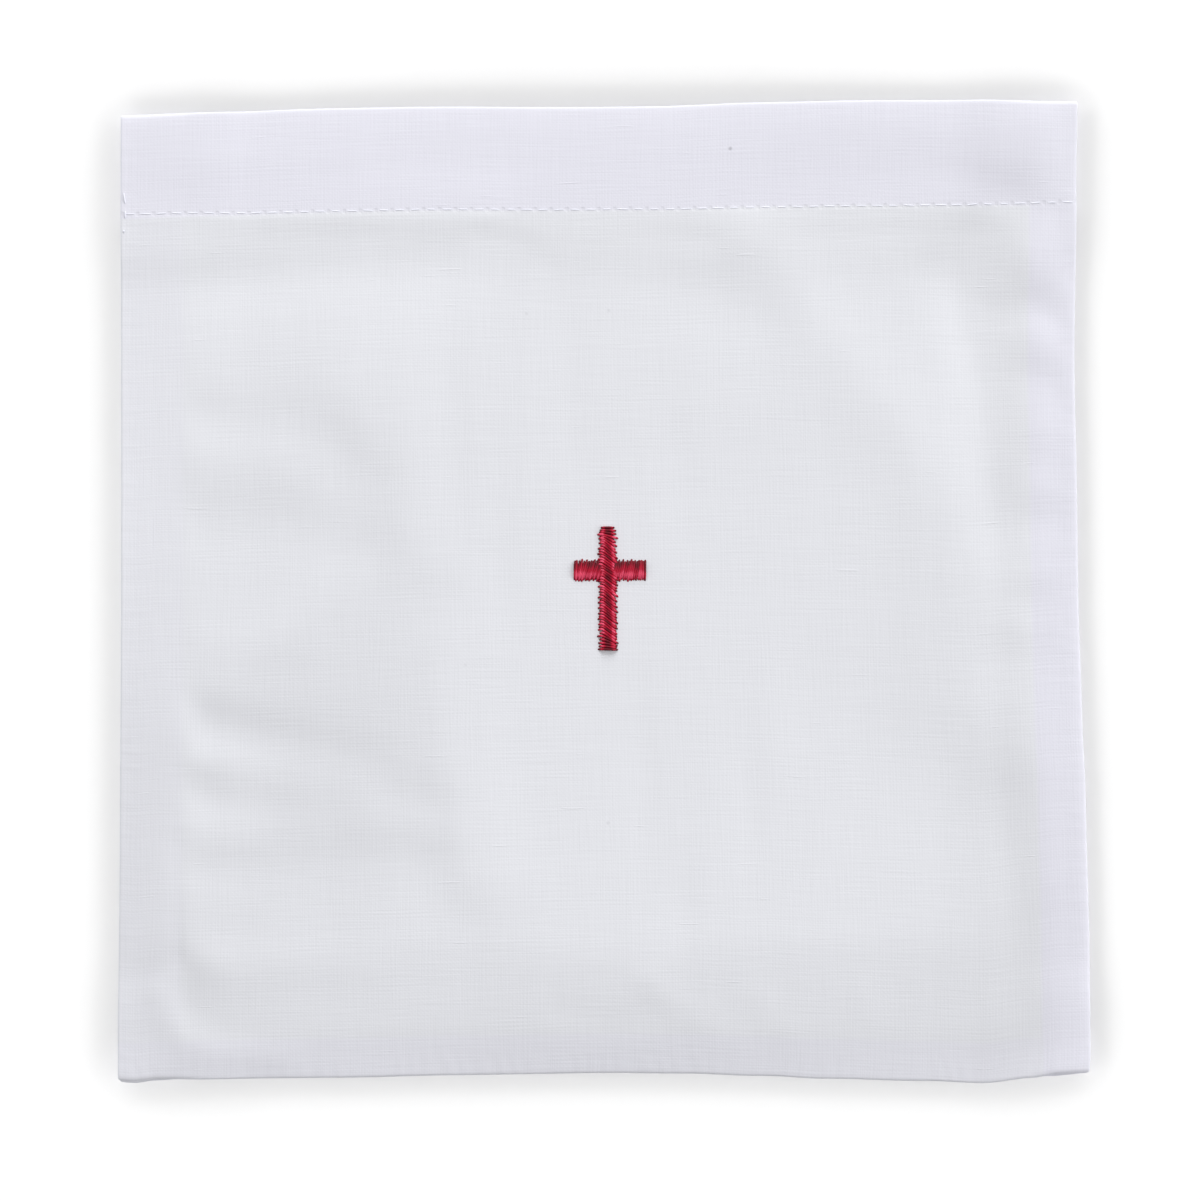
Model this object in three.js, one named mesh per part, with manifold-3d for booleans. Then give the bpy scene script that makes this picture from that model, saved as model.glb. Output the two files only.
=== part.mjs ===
// A chalice pall cover: a flat, square pocket of white cloth with an embroidered cross.
// Two square panels lie one on the other, seamed on three sides and hemmed at the mouth.
// Millimetres, +Z up. The cover lies on z = 0 with its mouth towards +Y, centred on the origin.

import * as THREE from 'three';
import { mergeVertices } from 'three/addons/utils/BufferGeometryUtils.js';
import Module from 'manifold-3d';

const wasm = await Module();
wasm.setup();

// Cloth
const SHEET = 1.0;
const LAYER_GAP = 0.3;
const PANEL_GAP = 0.3;

// Cloth turned in at each side of a panel, measured from its folded edge: the hem at the top, seam turnings elsewhere
const TURNINGS = { top: 19.3, left: 11.8, right: 9.0, bottom: 7.5 };
const TURNING_CORNER_RADIUS = 7.0;

// How much higher the face lies over the cloth turned in, and the width of that step
const TURNING_RISE = { top: 0.35, left: 0.25, right: 0.2, bottom: 0 };
const TURNING_STEP = 2.0;

// The panel's four corners, as it lies
const CORNERS = {
  bottomLeft: [-89.7, -90.5],
  bottomRight: [89.7, -89.1],
  topLeft: [-89.2, 88.2],
  topRight: [87.5, 90.8],
};

// How far each side strays outwards from the straight line between its corners, from left to right or upwards
const SIDES = {
  top: [
    { at: 0, out: 0 },
    { at: 0.1, out: 0.35 },
    { at: 0.25, out: 0.8 },
    { at: 0.53, out: 0.15 },
    { at: 0.77, out: 0.7 },
    { at: 1, out: 0 },
  ],
  bottom: [
    { at: 0, out: 0 },
    { at: 0.08, out: -0.4 },
    { at: 0.5, out: -1.0 },
    { at: 0.73, out: 0.4 },
    { at: 0.89, out: 1.4 },
    { at: 1, out: 0 },
  ],
  left: [
    { at: 0, out: 0.1 },
    { at: 0.5, out: -0.25 },
    { at: 1, out: 0 },
  ],
  right: [
    { at: 0, out: 0.1 },
    { at: 0.13, out: 0.3 },
    { at: 0.5, out: -0.92 },
    { at: 0.71, out: -1.1 },
    { at: 1, out: 0 },
  ],
};

// The face's rise from its seams to its middle, and the widths over which it rises
const LOFT = 0.75;
const LOFT_RUN = { top: 22, bottom: 17, left: 16, right: 14 };
const MOUTH_LIFT = 0.8;

// Soft ridges (rise above 0) and troughs (rise below 0) of the front panel, each from one point to another
const FOLDS = [
  { from: [-80, 58], to: [-46, 58], rise: -0.4, width: 5 },
  { from: [-24, 62], to: [-18, 57], rise: -0.3, width: 5 },
  { from: [-76, 41], to: [-58, 47], rise: 0.2, width: 6 },
  { from: [-51, 39], to: [-46, 33], rise: 0.45, width: 6 },
  { from: [-78, 33], to: [-64, 33], rise: -0.25, width: 4 },
  { from: [-79, 23], to: [-53, 23], rise: 0.3, width: 5 },
  { from: [-77, 13], to: [-46, 8], rise: -0.35, width: 6 },
  { from: [-77, -10], to: [-55, -14], rise: 0.4, width: 5 },
  { from: [-75, -21], to: [-42, -29], rise: -0.45, width: 4 },
  { from: [-67, -53], to: [-28, -53], rise: -0.55, width: 8 },
  { from: [-37, 18], to: [-32, -29], rise: 0.3, width: 6 },
  { from: [-77, -70], to: [69, -70], rise: 0.35, width: 9 },
  { from: [-77, -76], to: [-70, -80], rise: -0.35, width: 4 },
  { from: [-8, 34], to: [-8, 10], rise: -0.12, width: 6 },
  { from: [4, -30], to: [4, -52], rise: -0.2, width: 6 },
  { from: [23, 59], to: [25, 50], rise: -0.3, width: 6 },
  { from: [25, 66], to: [41, 50], rise: 0.3, width: 5 },
  { from: [41, 50], to: [58, 24], rise: 0.3, width: 6 },
  { from: [58, 24], to: [73, -6], rise: 0.5, width: 6 },
  { from: [56, 55], to: [73, 28], rise: -0.45, width: 7 },
  { from: [73, 28], to: [79, 2], rise: -0.3, width: 4 },
  { from: [54, -28], to: [60, -36], rise: -0.45, width: 9 },
  { from: [69, -22], to: [78, -33], rise: 0.25, width: 5 },
];

// The embroidered cross, measured from the centre of the cover
const CROSS = {
  uprightX: 0.7,
  uprightWidth: 3.4,
  topY: 12.0,
  footY: -10.8,
  armY: 3.9,
  armWidth: 3.6,
  armLeftX: -5.6,
  armRightX: 8.0,
  thickness: 0.8,
  crown: 0.3,
};

// How finely the panels are divided, and the roundness of their folded edges
const FACE_STEPS = 34;
const LINING_STEPS = 18;
const BACK_STEPS = 8;
const EDGE_ROLL_RADIUS = 1.0;
const EDGE_ROLL_STEPS = [0, 0.13, 0.5];

const MATERIALS = {
  cloth: new THREE.MeshStandardMaterial({ color: '#e6e6ed', roughness: 0.9, metalness: 0 }),
  thread: new THREE.MeshStandardMaterial({ color: '#b0183c', roughness: 0.6, metalness: 0 }),
};

const INSIDE_FOLD = SHEET + LAYER_GAP / 2;
const PANEL_THICKNESS = 2 * SHEET + LAYER_GAP;
const SEAM_HEIGHT = 2 * PANEL_THICKNESS + PANEL_GAP;
const PANEL_WIDTH = CORNERS.bottomRight[0] - CORNERS.bottomLeft[0];
const PANEL_LENGTH = CORNERS.topRight[1] - CORNERS.bottomRight[1];
const CREASES = {
  across: [TURNINGS.left, PANEL_WIDTH - TURNINGS.right],
  along: [PANEL_LENGTH - TURNINGS.top],
};

const { lerp, smoothstep } = THREE.MathUtils;

/** The stray of a side at a fraction of its length, eased from row to row of its table. */
function strayAt(side, at) {
  const next = Math.max(1, side.findIndex((row) => row.at >= at));
  const [before, after] = [side[next - 1], side[next]];
  return lerp(before.out, after.out, smoothstep(at, before.at, after.at));
}

/** The plan point at s across and t up the panel, between its four uneven sides. */
function planPoint(s, t) {
  const { bottomLeft, bottomRight, topLeft, topRight } = CORNERS;
  const straight = [0, 1].map((axis) => lerp(
    lerp(bottomLeft[axis], bottomRight[axis], s),
    lerp(topLeft[axis], topRight[axis], s),
    t,
  ));
  const strayX = lerp(-strayAt(SIDES.left, t), strayAt(SIDES.right, t), s);
  const strayY = lerp(-strayAt(SIDES.bottom, s), strayAt(SIDES.top, s), t);
  return new THREE.Vector2(straight[0] + strayX, straight[1] + strayY);
}

/** Fractions of a length, from one inset line to the other: even, with a line on each side of a crease. */
function insetLines(length, steps, inset, creases) {
  const beside = creases.flatMap((crease) => [crease - TURNING_STEP / 2, crease + TURNING_STEP / 2]);
  const even = Array.from({ length: steps - 1 }, (_, i) => lerp(inset, length - inset, (i + 1) / steps))
    .filter((line) => beside.every((other) => Math.abs(other - line) > TURNING_STEP / 2));
  const between = [...even, ...beside].sort((a, b) => a - b);
  return [inset, ...between, length - inset].map((line) => line / length);
}

/** The same lines, with finer ones beyond them in both rolled edges. */
function rolledLines(length, steps, creases) {
  const roll = EDGE_ROLL_STEPS.map((step) => (step * EDGE_ROLL_RADIUS) / length);
  const lines = insetLines(length, steps, EDGE_ROLL_RADIUS, creases);
  return [...roll, ...lines, ...roll.map((line) => 1 - line).reverse()];
}

/** How far a plan point is from each side of the panel. */
function sideDistances(s, t) {
  return {
    left: s * PANEL_WIDTH,
    right: (1 - s) * PANEL_WIDTH,
    bottom: t * PANEL_LENGTH,
    top: (1 - t) * PANEL_LENGTH,
  };
}

/** How much a rolled edge falls away at a distance from the side. */
function rollDrop(distance) {
  const inward = EDGE_ROLL_RADIUS - Math.min(distance, EDGE_ROLL_RADIUS);
  return EDGE_ROLL_RADIUS - Math.sqrt(EDGE_ROLL_RADIUS ** 2 - inward ** 2);
}

/** The rise of one soft fold at a plan point: full along its line, and easing off round it. */
function foldRise({ from, to, rise, width }, x, y) {
  const start = new THREE.Vector3(...from, 0);
  const nearest = new THREE.Line3(start, new THREE.Vector3(...to, 0))
    .closestPointToPoint(new THREE.Vector3(x, y, 0), true, new THREE.Vector3());
  return rise * Math.exp(-(((x - nearest.x) ** 2 + (y - nearest.y) ** 2) / width ** 2));
}

/** The height of the front panel's upper face. */
function faceHeight(x, y, s, t) {
  const distances = sideDistances(s, t);
  let loft = LOFT;
  let turned = 0;
  for (const [side, distance] of Object.entries(distances)) {
    loft *= smoothstep(distance, 0, LOFT_RUN[side]);
    const stepStart = TURNINGS[side] - TURNING_STEP / 2;
    const over = 1 - smoothstep(distance, stepStart, stepStart + TURNING_STEP);
    turned = Math.max(turned, TURNING_RISE[side] * over);
  }
  const mouth = MOUTH_LIFT * Math.sin(Math.PI * s) ** 2 * (1 - smoothstep(distances.top, 0, 2 * TURNINGS.top));
  const folds = FOLDS.reduce((sum, fold) => sum + foldRise(fold, x, y), 0);
  return SEAM_HEIGHT + Math.max(0, loft + turned + mouth + folds);
}

/** A closed block that follows the panel's plan between two height functions of (x, y, s, t). */
function slab(sLines, tLines, topAt, undersideAt) {
  const [columns, rows] = [sLines.length, tLines.length];
  const layer = columns * rows;
  const positions = [];
  for (const heightAt of [undersideAt, topAt]) {
    for (const t of tLines) {
      for (const s of sLines) {
        const { x, y } = planPoint(s, t);
        positions.push(x, y, heightAt(x, y, s, t));
      }
    }
  }
  const faces = [];
  for (let row = 0; row < rows - 1; row += 1) {
    for (let column = 0; column < columns - 1; column += 1) {
      const near = row * columns + column;
      const far = near + columns;
      faces.push(near, far + 1, near + 1, near, far, far + 1);
      faces.push(layer + near, layer + near + 1, layer + far + 1, layer + near, layer + far + 1, layer + far);
    }
  }
  const rim = [
    ...Array.from({ length: columns - 1 }, (_, i) => i),
    ...Array.from({ length: rows - 1 }, (_, i) => columns - 1 + i * columns),
    ...Array.from({ length: columns - 1 }, (_, i) => layer - 1 - i),
    ...Array.from({ length: rows - 1 }, (_, i) => (rows - 1 - i) * columns),
  ];
  rim.forEach((from, i) => {
    const to = rim[(i + 1) % rim.length];
    faces.push(from, to, layer + to, from, layer + to, layer + from);
  });
  const geometry = new THREE.BufferGeometry();
  geometry.setAttribute('position', new THREE.Float32BufferAttribute(positions, 3));
  return geometry.setIndex(faces);
}

/** A slab over the whole panel, with rolled edges. */
function panelBlank(steps, topAt, undersideAt) {
  const rolled = (heightAt, sign) => (x, y, s, t) => (
    heightAt(x, y, s, t) + sign * rollDrop(Math.min(...Object.values(sideDistances(s, t))))
  );
  return slab(
    rolledLines(PANEL_WIDTH, steps, CREASES.across),
    rolledLines(PANEL_LENGTH, steps, CREASES.along),
    rolled(topAt, -1),
    rolled(undersideAt, 1),
  );
}

/** A slab inside the panel's folded edges. */
function panelHollow(steps, topAt, undersideAt) {
  return slab(
    insetLines(PANEL_WIDTH, steps, SHEET, CREASES.across),
    insetLines(PANEL_LENGTH, steps, SHEET, CREASES.along),
    topAt,
    undersideAt,
  );
}

/** An upright block over the part of the panel that no hem or turning covers. */
function betweenTurnings() {
  const [left, right] = [TURNINGS.left / PANEL_WIDTH, 1 - TURNINGS.right / PANEL_WIDTH];
  const [bottom, top] = [TURNINGS.bottom / PANEL_LENGTH, 1 - TURNINGS.top / PANEL_LENGTH];
  const corners = [planPoint(left, bottom), planPoint(right, bottom), planPoint(right, top), planPoint(left, top)];
  const outline = new THREE.Shape();
  corners.forEach((corner, i) => {
    const before = corners[(i + 3) % 4].clone().sub(corner).setLength(TURNING_CORNER_RADIUS).add(corner);
    const after = corners[(i + 1) % 4].clone().sub(corner).setLength(TURNING_CORNER_RADIUS).add(corner);
    if (i === 0) outline.moveTo(before.x, before.y);
    else outline.lineTo(before.x, before.y);
    outline.quadraticCurveTo(corner.x, corner.y, after.x, after.y);
  });
  outline.closePath();
  const depth = 4 * SEAM_HEIGHT;
  const block = new THREE.ExtrudeGeometry(outline, { depth, bevelEnabled: false, curveSegments: 5 });
  return block.translate(0, 0, -depth / 2);
}

/** A closed mesh as a solid that can be joined and cut. */
function toSolid(geometry) {
  const bare = geometry.clone();
  bare.deleteAttribute('normal');
  bare.deleteAttribute('uv');
  const merged = mergeVertices(bare);
  return new wasm.Manifold(new wasm.Mesh({
    numProp: 3,
    vertProperties: new Float32Array(merged.attributes.position.array),
    triVerts: new Uint32Array(merged.index.array),
  }));
}

/** A solid's surface as a geometry. */
function toGeometry(solid) {
  const { vertProperties, triVerts } = solid.getMesh();
  const geometry = new THREE.BufferGeometry();
  geometry.setAttribute('position', new THREE.BufferAttribute(vertProperties, 3));
  geometry.setIndex(new THREE.BufferAttribute(triVerts, 1));
  geometry.computeVertexNormals();
  return geometry;
}

/** The panel that shows: its face follows the folds, and its hem and turnings lie under it. */
function frontPanel() {
  const below = (depth) => (x, y, s, t) => faceHeight(x, y, s, t) - depth;
  const blank = toSolid(panelBlank(FACE_STEPS, faceHeight, below(PANEL_THICKNESS)));
  const insideFold = toSolid(panelHollow(LINING_STEPS, below(SHEET), below(SHEET + LAYER_GAP)));
  const opening = toSolid(panelHollow(LINING_STEPS, below(INSIDE_FOLD), below(2 * PANEL_THICKNESS)))
    .intersect(toSolid(betweenTurnings()));
  return toGeometry(blank.subtract(insideFold.add(opening)));
}

/** The panel that lies on the table: flat, with its hem and turnings on top of it. */
function backPanel() {
  const at = (height) => () => height;
  const blank = toSolid(panelBlank(BACK_STEPS, at(PANEL_THICKNESS), at(0)));
  const insideFold = toSolid(panelHollow(BACK_STEPS, at(SHEET + LAYER_GAP), at(SHEET)));
  const opening = toSolid(panelHollow(BACK_STEPS, at(2 * PANEL_THICKNESS), at(INSIDE_FOLD)))
    .intersect(toSolid(betweenTurnings()));
  return toGeometry(blank.subtract(insideFold.add(opening)));
}

/** The raised satin-stitch cross, which follows the face just above it. */
function embroideredCross() {
  const { uprightX, armY, topY, footY, armLeftX, armRightX, crown } = CROSS;
  const halfUpright = CROSS.uprightWidth / 2 - crown;
  const halfArm = CROSS.armWidth / 2 - crown;
  const outline = new THREE.Shape([
    [uprightX - halfUpright, footY + crown],
    [uprightX + halfUpright, footY + crown],
    [uprightX + halfUpright, armY - halfArm],
    [armRightX - crown, armY - halfArm],
    [armRightX - crown, armY + halfArm],
    [uprightX + halfUpright, armY + halfArm],
    [uprightX + halfUpright, topY - crown],
    [uprightX - halfUpright, topY - crown],
    [uprightX - halfUpright, armY + halfArm],
    [armLeftX + crown, armY + halfArm],
    [armLeftX + crown, armY - halfArm],
    [uprightX - halfUpright, armY - halfArm],
  ].map(([x, y]) => new THREE.Vector2(x, y)));
  const geometry = new THREE.ExtrudeGeometry(outline, {
    depth: CROSS.thickness - 2 * crown,
    bevelThickness: crown,
    bevelSize: crown,
    bevelSegments: 3,
  });
  const points = geometry.attributes.position;
  for (let i = 0; i < points.count; i += 1) {
    const [x, y] = [points.getX(i), points.getY(i)];
    const s = (x - CORNERS.bottomLeft[0]) / PANEL_WIDTH;
    const t = (y - CORNERS.bottomLeft[1]) / PANEL_LENGTH;
    points.setZ(i, points.getZ(i) + crown + LAYER_GAP + faceHeight(x, y, s, t));
  }
  return geometry;
}

/** One named piece of the cover. */
function piece(name, geometry, material) {
  const mesh = new THREE.Mesh(geometry, material);
  mesh.name = name;
  return mesh;
}

const cover = new THREE.Group();
cover.add(
  piece('back_panel', backPanel(), MATERIALS.cloth),
  piece('front_panel', frontPanel(), MATERIALS.cloth),
  piece('cross', embroideredCross(), MATERIALS.thread),
);

export default cover;
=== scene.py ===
"""A white chalice pall cover: a flat, hemmed pocket of two cloth panels with a red embroidered cross.

The shape functions work in millimetres, as their tables do, and every mesh is made in metres. The cover
lies on z = 0 with its mouth towards +Y.
"""

import math
from types import SimpleNamespace
from typing import NamedTuple

import bpy
import numpy as np
from bpy.props import FloatProperty, FloatVectorProperty, PointerProperty
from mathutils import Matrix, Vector
from mathutils.bvhtree import BVHTree


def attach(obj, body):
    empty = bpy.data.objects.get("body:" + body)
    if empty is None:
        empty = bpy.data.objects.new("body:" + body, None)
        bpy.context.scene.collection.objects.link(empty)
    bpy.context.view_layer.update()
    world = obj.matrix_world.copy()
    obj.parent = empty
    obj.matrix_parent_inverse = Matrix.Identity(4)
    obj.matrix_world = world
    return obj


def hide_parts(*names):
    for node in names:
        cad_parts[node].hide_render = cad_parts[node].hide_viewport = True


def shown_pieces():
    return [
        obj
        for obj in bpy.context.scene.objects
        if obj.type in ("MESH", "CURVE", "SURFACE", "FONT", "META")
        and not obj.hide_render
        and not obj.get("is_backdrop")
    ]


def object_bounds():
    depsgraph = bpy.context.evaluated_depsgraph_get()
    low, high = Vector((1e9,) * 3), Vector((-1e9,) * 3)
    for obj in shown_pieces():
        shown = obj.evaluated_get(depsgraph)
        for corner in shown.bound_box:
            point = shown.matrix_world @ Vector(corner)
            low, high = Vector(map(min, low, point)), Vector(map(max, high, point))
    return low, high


bl_info = {
    "name": "Chalice pall cover",
    "version": (1, 0, 0),
    "blender": (4, 5, 0),
    "location": "View3D > Sidebar > Pall",
    "description": "A hemmed and seamed white cloth cover with an embroidered cross",
    "category": "Add Mesh",
}

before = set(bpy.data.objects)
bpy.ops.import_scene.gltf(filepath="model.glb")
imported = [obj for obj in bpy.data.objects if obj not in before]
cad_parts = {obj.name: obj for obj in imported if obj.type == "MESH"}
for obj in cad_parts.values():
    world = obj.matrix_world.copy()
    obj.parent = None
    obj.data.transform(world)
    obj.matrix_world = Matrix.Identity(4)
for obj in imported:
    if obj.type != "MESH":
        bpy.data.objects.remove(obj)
CAD_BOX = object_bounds()

MM = 0.001
QUARTER = math.pi / 2
TINY = 1e-6
BODY = "root"


class Stray(NamedTuple):
    """How far a side strays outwards from the line between its corners, at a fraction of its length."""

    at: float
    out: float


class Crease(NamedTuple):
    """A soft ridge (above 0) or trough along a path.

    Its heights are evenly spaced from the path's start to its end, and left and right are its widths.
    """

    path: tuple
    heights: tuple
    left: float
    right: float


# The outline as it lies. A side's fractions run from left to right, or upwards.
CORNERS = {
    "bottom_left": (-89.5, -90.4),
    "bottom_right": (89.5, -89.0),
    "top_left": (-89.0, 87.8),
    "top_right": (87.2, 90.4),
}
TOP_SIDE = (
    Stray(0, 0), Stray(0.1, 0.35), Stray(0.22, 0.72), Stray(0.3, 0.75), Stray(0.5, 0.2), Stray(0.56, 0.18),
    Stray(0.67, 0.63), Stray(0.77, 0.78), Stray(0.88, 0.6), Stray(1, 0),
)
RIGHT_SIDE = (
    Stray(0, 0), Stray(0.02, 0.2), Stray(0.13, 0.3), Stray(0.29, -0.05), Stray(0.37, -0.5),
    Stray(0.49, -0.92), Stray(0.6, -0.92), Stray(0.71, -1.1), Stray(0.91, -0.4), Stray(1, 0),
)
LEFT_SIDE = (Stray(0, 0), Stray(0.06, 0.05), Stray(0.26, -0.15), Stray(0.5, -0.25), Stray(1, 0))
FRONT_SIDES = {
    "top": TOP_SIDE,
    "right": RIGHT_SIDE,
    "left": LEFT_SIDE,
    "bottom": (
        Stray(0, -0.4), Stray(0.015, -0.15), Stray(0.04, -0.55), Stray(0.08, -0.45), Stray(0.23, -0.5),
        Stray(0.35, -0.8), Stray(0.5, -1.0), Stray(0.58, -0.78), Stray(0.66, -0.25), Stray(0.73, 0.4),
        Stray(0.83, 0.95), Stray(0.89, 1.42), Stray(0.94, 0.5), Stray(0.97, -0.25), Stray(1, -0.4),
    ),
}
BACK_SIDES = {
    "top": tuple(Stray(at, out - 0.5) for at, out in TOP_SIDE),
    "right": tuple(Stray(at, out - 0.15) for at, out in RIGHT_SIDE),
    "left": tuple(Stray(at, out - 0.15) for at, out in LEFT_SIDE),
    "bottom": (
        Stray(0, 0.1), Stray(0.013, 0.4), Stray(0.035, -0.1), Stray(0.08, -0.6), Stray(0.35, -1.0),
        Stray(0.5, -1.2), Stray(0.66, -0.5), Stray(0.83, 0.7), Stray(0.89, 1.2), Stray(0.965, 0.35),
        Stray(1, -0.15),
    ),
}

# The soft ridges and troughs of the face between the turnings and below the hem
BODY_CREASES = (
    # below the hem, left to right
    Crease(((-86, 54), (-70, 57), (-58, 59), (-45, 61), (-30, 61.5)), (-0.2, -0.2, -0.1), 5.5, 5.5),
    Crease(((-62, 65.5), (-44, 66)), (-0.05, -0.08), 2, 3),
    Crease(((-23, 65.6), (-14, 65), (-11, 60)), (-0.12, -0.06), 1.8, 3),
    Crease(((6, 65.6), (19, 65)), (-0.07, -0.14), 2, 3),
    Crease(((37, 65.6), (55, 66.6), (72, 67)), (-0.07, -0.1), 2, 3),
    # left part, downwards
    Crease(((-79, 33.5), (-70, 32), (-60, 31)), (-0.22, -0.06), 4, 4),
    Crease(((-79, 23), (-68, 23.5), (-58, 23)), (0.22, 0.12), 5, 5.5),
    Crease(((-46, 36), (-41, 28), (-39, 18), (-33, 8)), (0.32, 0.28), 14, 6),
    Crease(((-58, 31), (-48, 25), (-43, 20)), (-0.12, -0.2), 5, 6),
    Crease(((-78, 12), (-60, 12.5), (-46, 8)), (-0.22, -0.2), 5.5, 7),
    Crease(((-78, -9), (-57, -9)), (0.14, 0.1), 4.5, 4),
    Crease(((-78.5, -21), (-73, -24.5), (-65, -26.5), (-55, -28.5), (-44, -31)), (-0.55, -0.24), 4.4, 5.4),
    Crease(((-78, -30.5), (-64, -32)), (0.14, 0.06), 3, 3),
    Crease(((-78, -36.5), (-70, -38.5), (-62, -39)), (-0.4, -0.14), 4, 4),
    Crease(((-78, -45.5), (-66, -45.5)), (0.1, 0.05), 3, 3),
    Crease(((-77, -52.5), (-60, -51.5), (-45, -49), (-38, -47)), (-0.34, -0.3), 5.5, 7),
    Crease(((-30, -12), (-28.5, -33), (-25, -45), (-24, -52)), (0.25, 0.5), 12, 5),
    Crease(((-38, -38), (-31, -39)), (-0.22, -0.22), 4.5, 4.5),
    Crease(((-72, -69), (-43, -69.5)), (0.12, 0.1), 4, 4),
    # the long fold that runs from the hem to the right turning
    Crease(
        ((27, 64), (31.5, 59.5), (36, 53), (47, 38), (57, 27), (65, 12), (68, 1), (73, -5)),
        (0.3, 0.34, 0.3, 0.3, 0.32, 0.2, 0.14), 6.5, 8),
    Crease(((72, -5.5), (80, -7)), (0.1, 0.14), 4, 3.5),
    Crease(((15, 55), (24, 52), (30, 50)), (-0.12, -0.18), 6, 7),
    # right part
    Crease(((60, 60), (66, 56), (72, 52), (79, 50.5)), (-0.1, -0.24), 4, 4),
    Crease(((44, -20), (62, -34), (76, -40)), (-0.1, -0.3), 10, 14),
    # ripples of the middle
    Crease(((-27, 62), (-28.4, 40), (-27.5, 20), (-26, 0)), (0, -0.17, -0.14, 0), 3, 4.5),
    Crease(((-6, 66), (-7.4, 45), (-6.6, 26), (-6, 12)), (0, -0.17, -0.14, 0), 3.4, 5),
    Crease(((-19, 24), (-19.6, 8), (-20.5, -12)), (0, -0.13, 0), 3, 4),
    Crease(((6, -8), (6.8, -30), (6, -54)), (0, -0.17, 0), 3.5, 4.5),
    Crease(((26, -12), (26.9, -36), (26, -60)), (0, -0.18, 0), 3, 4),
    Crease(((12, 46), (13.6, 22), (14, 2)), (0, -0.14, 0), 4, 5),
    Crease(((15, -44), (14, -62), (14, -72)), (0, -0.17, 0), 3, 4),
    Crease(((38, 6), (37, -18), (38, -44)), (0, -0.12, 0), 4, 6),
    Crease(((-12, -22), (-13, -44), (-12, -66)), (0, -0.12, 0), 4, 5),
    # above the bottom's slope
    Crease(((8, -72), (16, -78), (22, -82)), (0.14, 0.06), 3, 3),
    Crease(((28, -74), (33, -81)), (0.08, 0.08), 3, 3),
    Crease(((47, -74), (49, -78)), (0.08, 0.07), 3, 3),
    Crease(((-8, -77), (4, -80), (8, -78)), (-0.08, -0.08), 3, 3),
)

# The same for the turnings, the hem and what crosses them
BORDER_CREASES = (
    # along the hem's stitches
    Crease(((-87, 68.5), (-60, 68.6), (-20, 69)), (0.06, 0.08), 0.9, 1.6),
    Crease(((-45, 72.6), (-20, 72.6)), (0.03, 0.08), 4, 2.6),
    Crease(((-75, 79.5), (-60, 80.5), (-45, 80)), (0.08, 0.04), 3, 5),
    Crease(((60, 79), (68, 76), (74, 73)), (-0.05, -0.2), 4, 3.5),
    # the groove beside the right turning
    Crease(
        ((74, 72), (64.5, 60), (69, 45), (71.5, 30), (73, 10), (74, -15), (74.5, -38), (78, -60), (78, -74)),
        (-0.4, -0.7, -1.0, -0.9, -0.9, -0.4, -0.6, -0.6, -0.8, -0.7, -0.5), 14, 5),
    Crease(((79.8, 90), (79.8, 50), (79.8, 4)), (0.1, 0.12, 0.4, 0.45, 0.3), 4, 5.5),
    # across the right turning
    Crease(((80, 71.5), (87, 68)), (-0.12, -0.1), 3, 3),
    Crease(((79, 61), (87, 56)), (0.3, 0.2), 5, 4),
    Crease(((79, 52.5), (87, 48.5)), (-0.24, -0.14), 3, 3),
    Crease(((79, 46), (87, 42.5)), (0.2, 0.14), 4, 4),
    Crease(((80, 39), (87, 35.5)), (-0.16, -0.1), 3.4, 3.4),
    Crease(((80, 30), (87, 29)), (0.08, 0.06), 3, 3),
    Crease(((80, 23.5), (87, 22)), (-0.08, -0.06), 3, 3),
    Crease(((80, 19), (87, 18)), (0.08, 0.05), 3, 3),
    Crease(((80, 13), (87, 12)), (-0.06, -0.04), 3, 3),
    Crease(((80, -6.5), (87, -8)), (0.14, 0.08), 4, 4),
    # the left turning's inner edge, and its rounded end
    Crease(((-78.4, -46), (-78.4, -68)), (-0.08, -0.14), 1.3, 1.3),
    Crease(((-78.6, -68), (-77.8, -74), (-74, -79), (-66, -81), (-57, -81)), (-0.2, -0.06), 3.4, 2.2),
    Crease(((-76, -71), (-72, -74.5), (-67, -76)), (-0.2, -0.1), 3.4, 3.4),
    Crease(((-82, -74), (-79.5, -81), (-74, -85), (-60, -86)), (0.2, 0.1), 2.2, 3),
)

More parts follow.
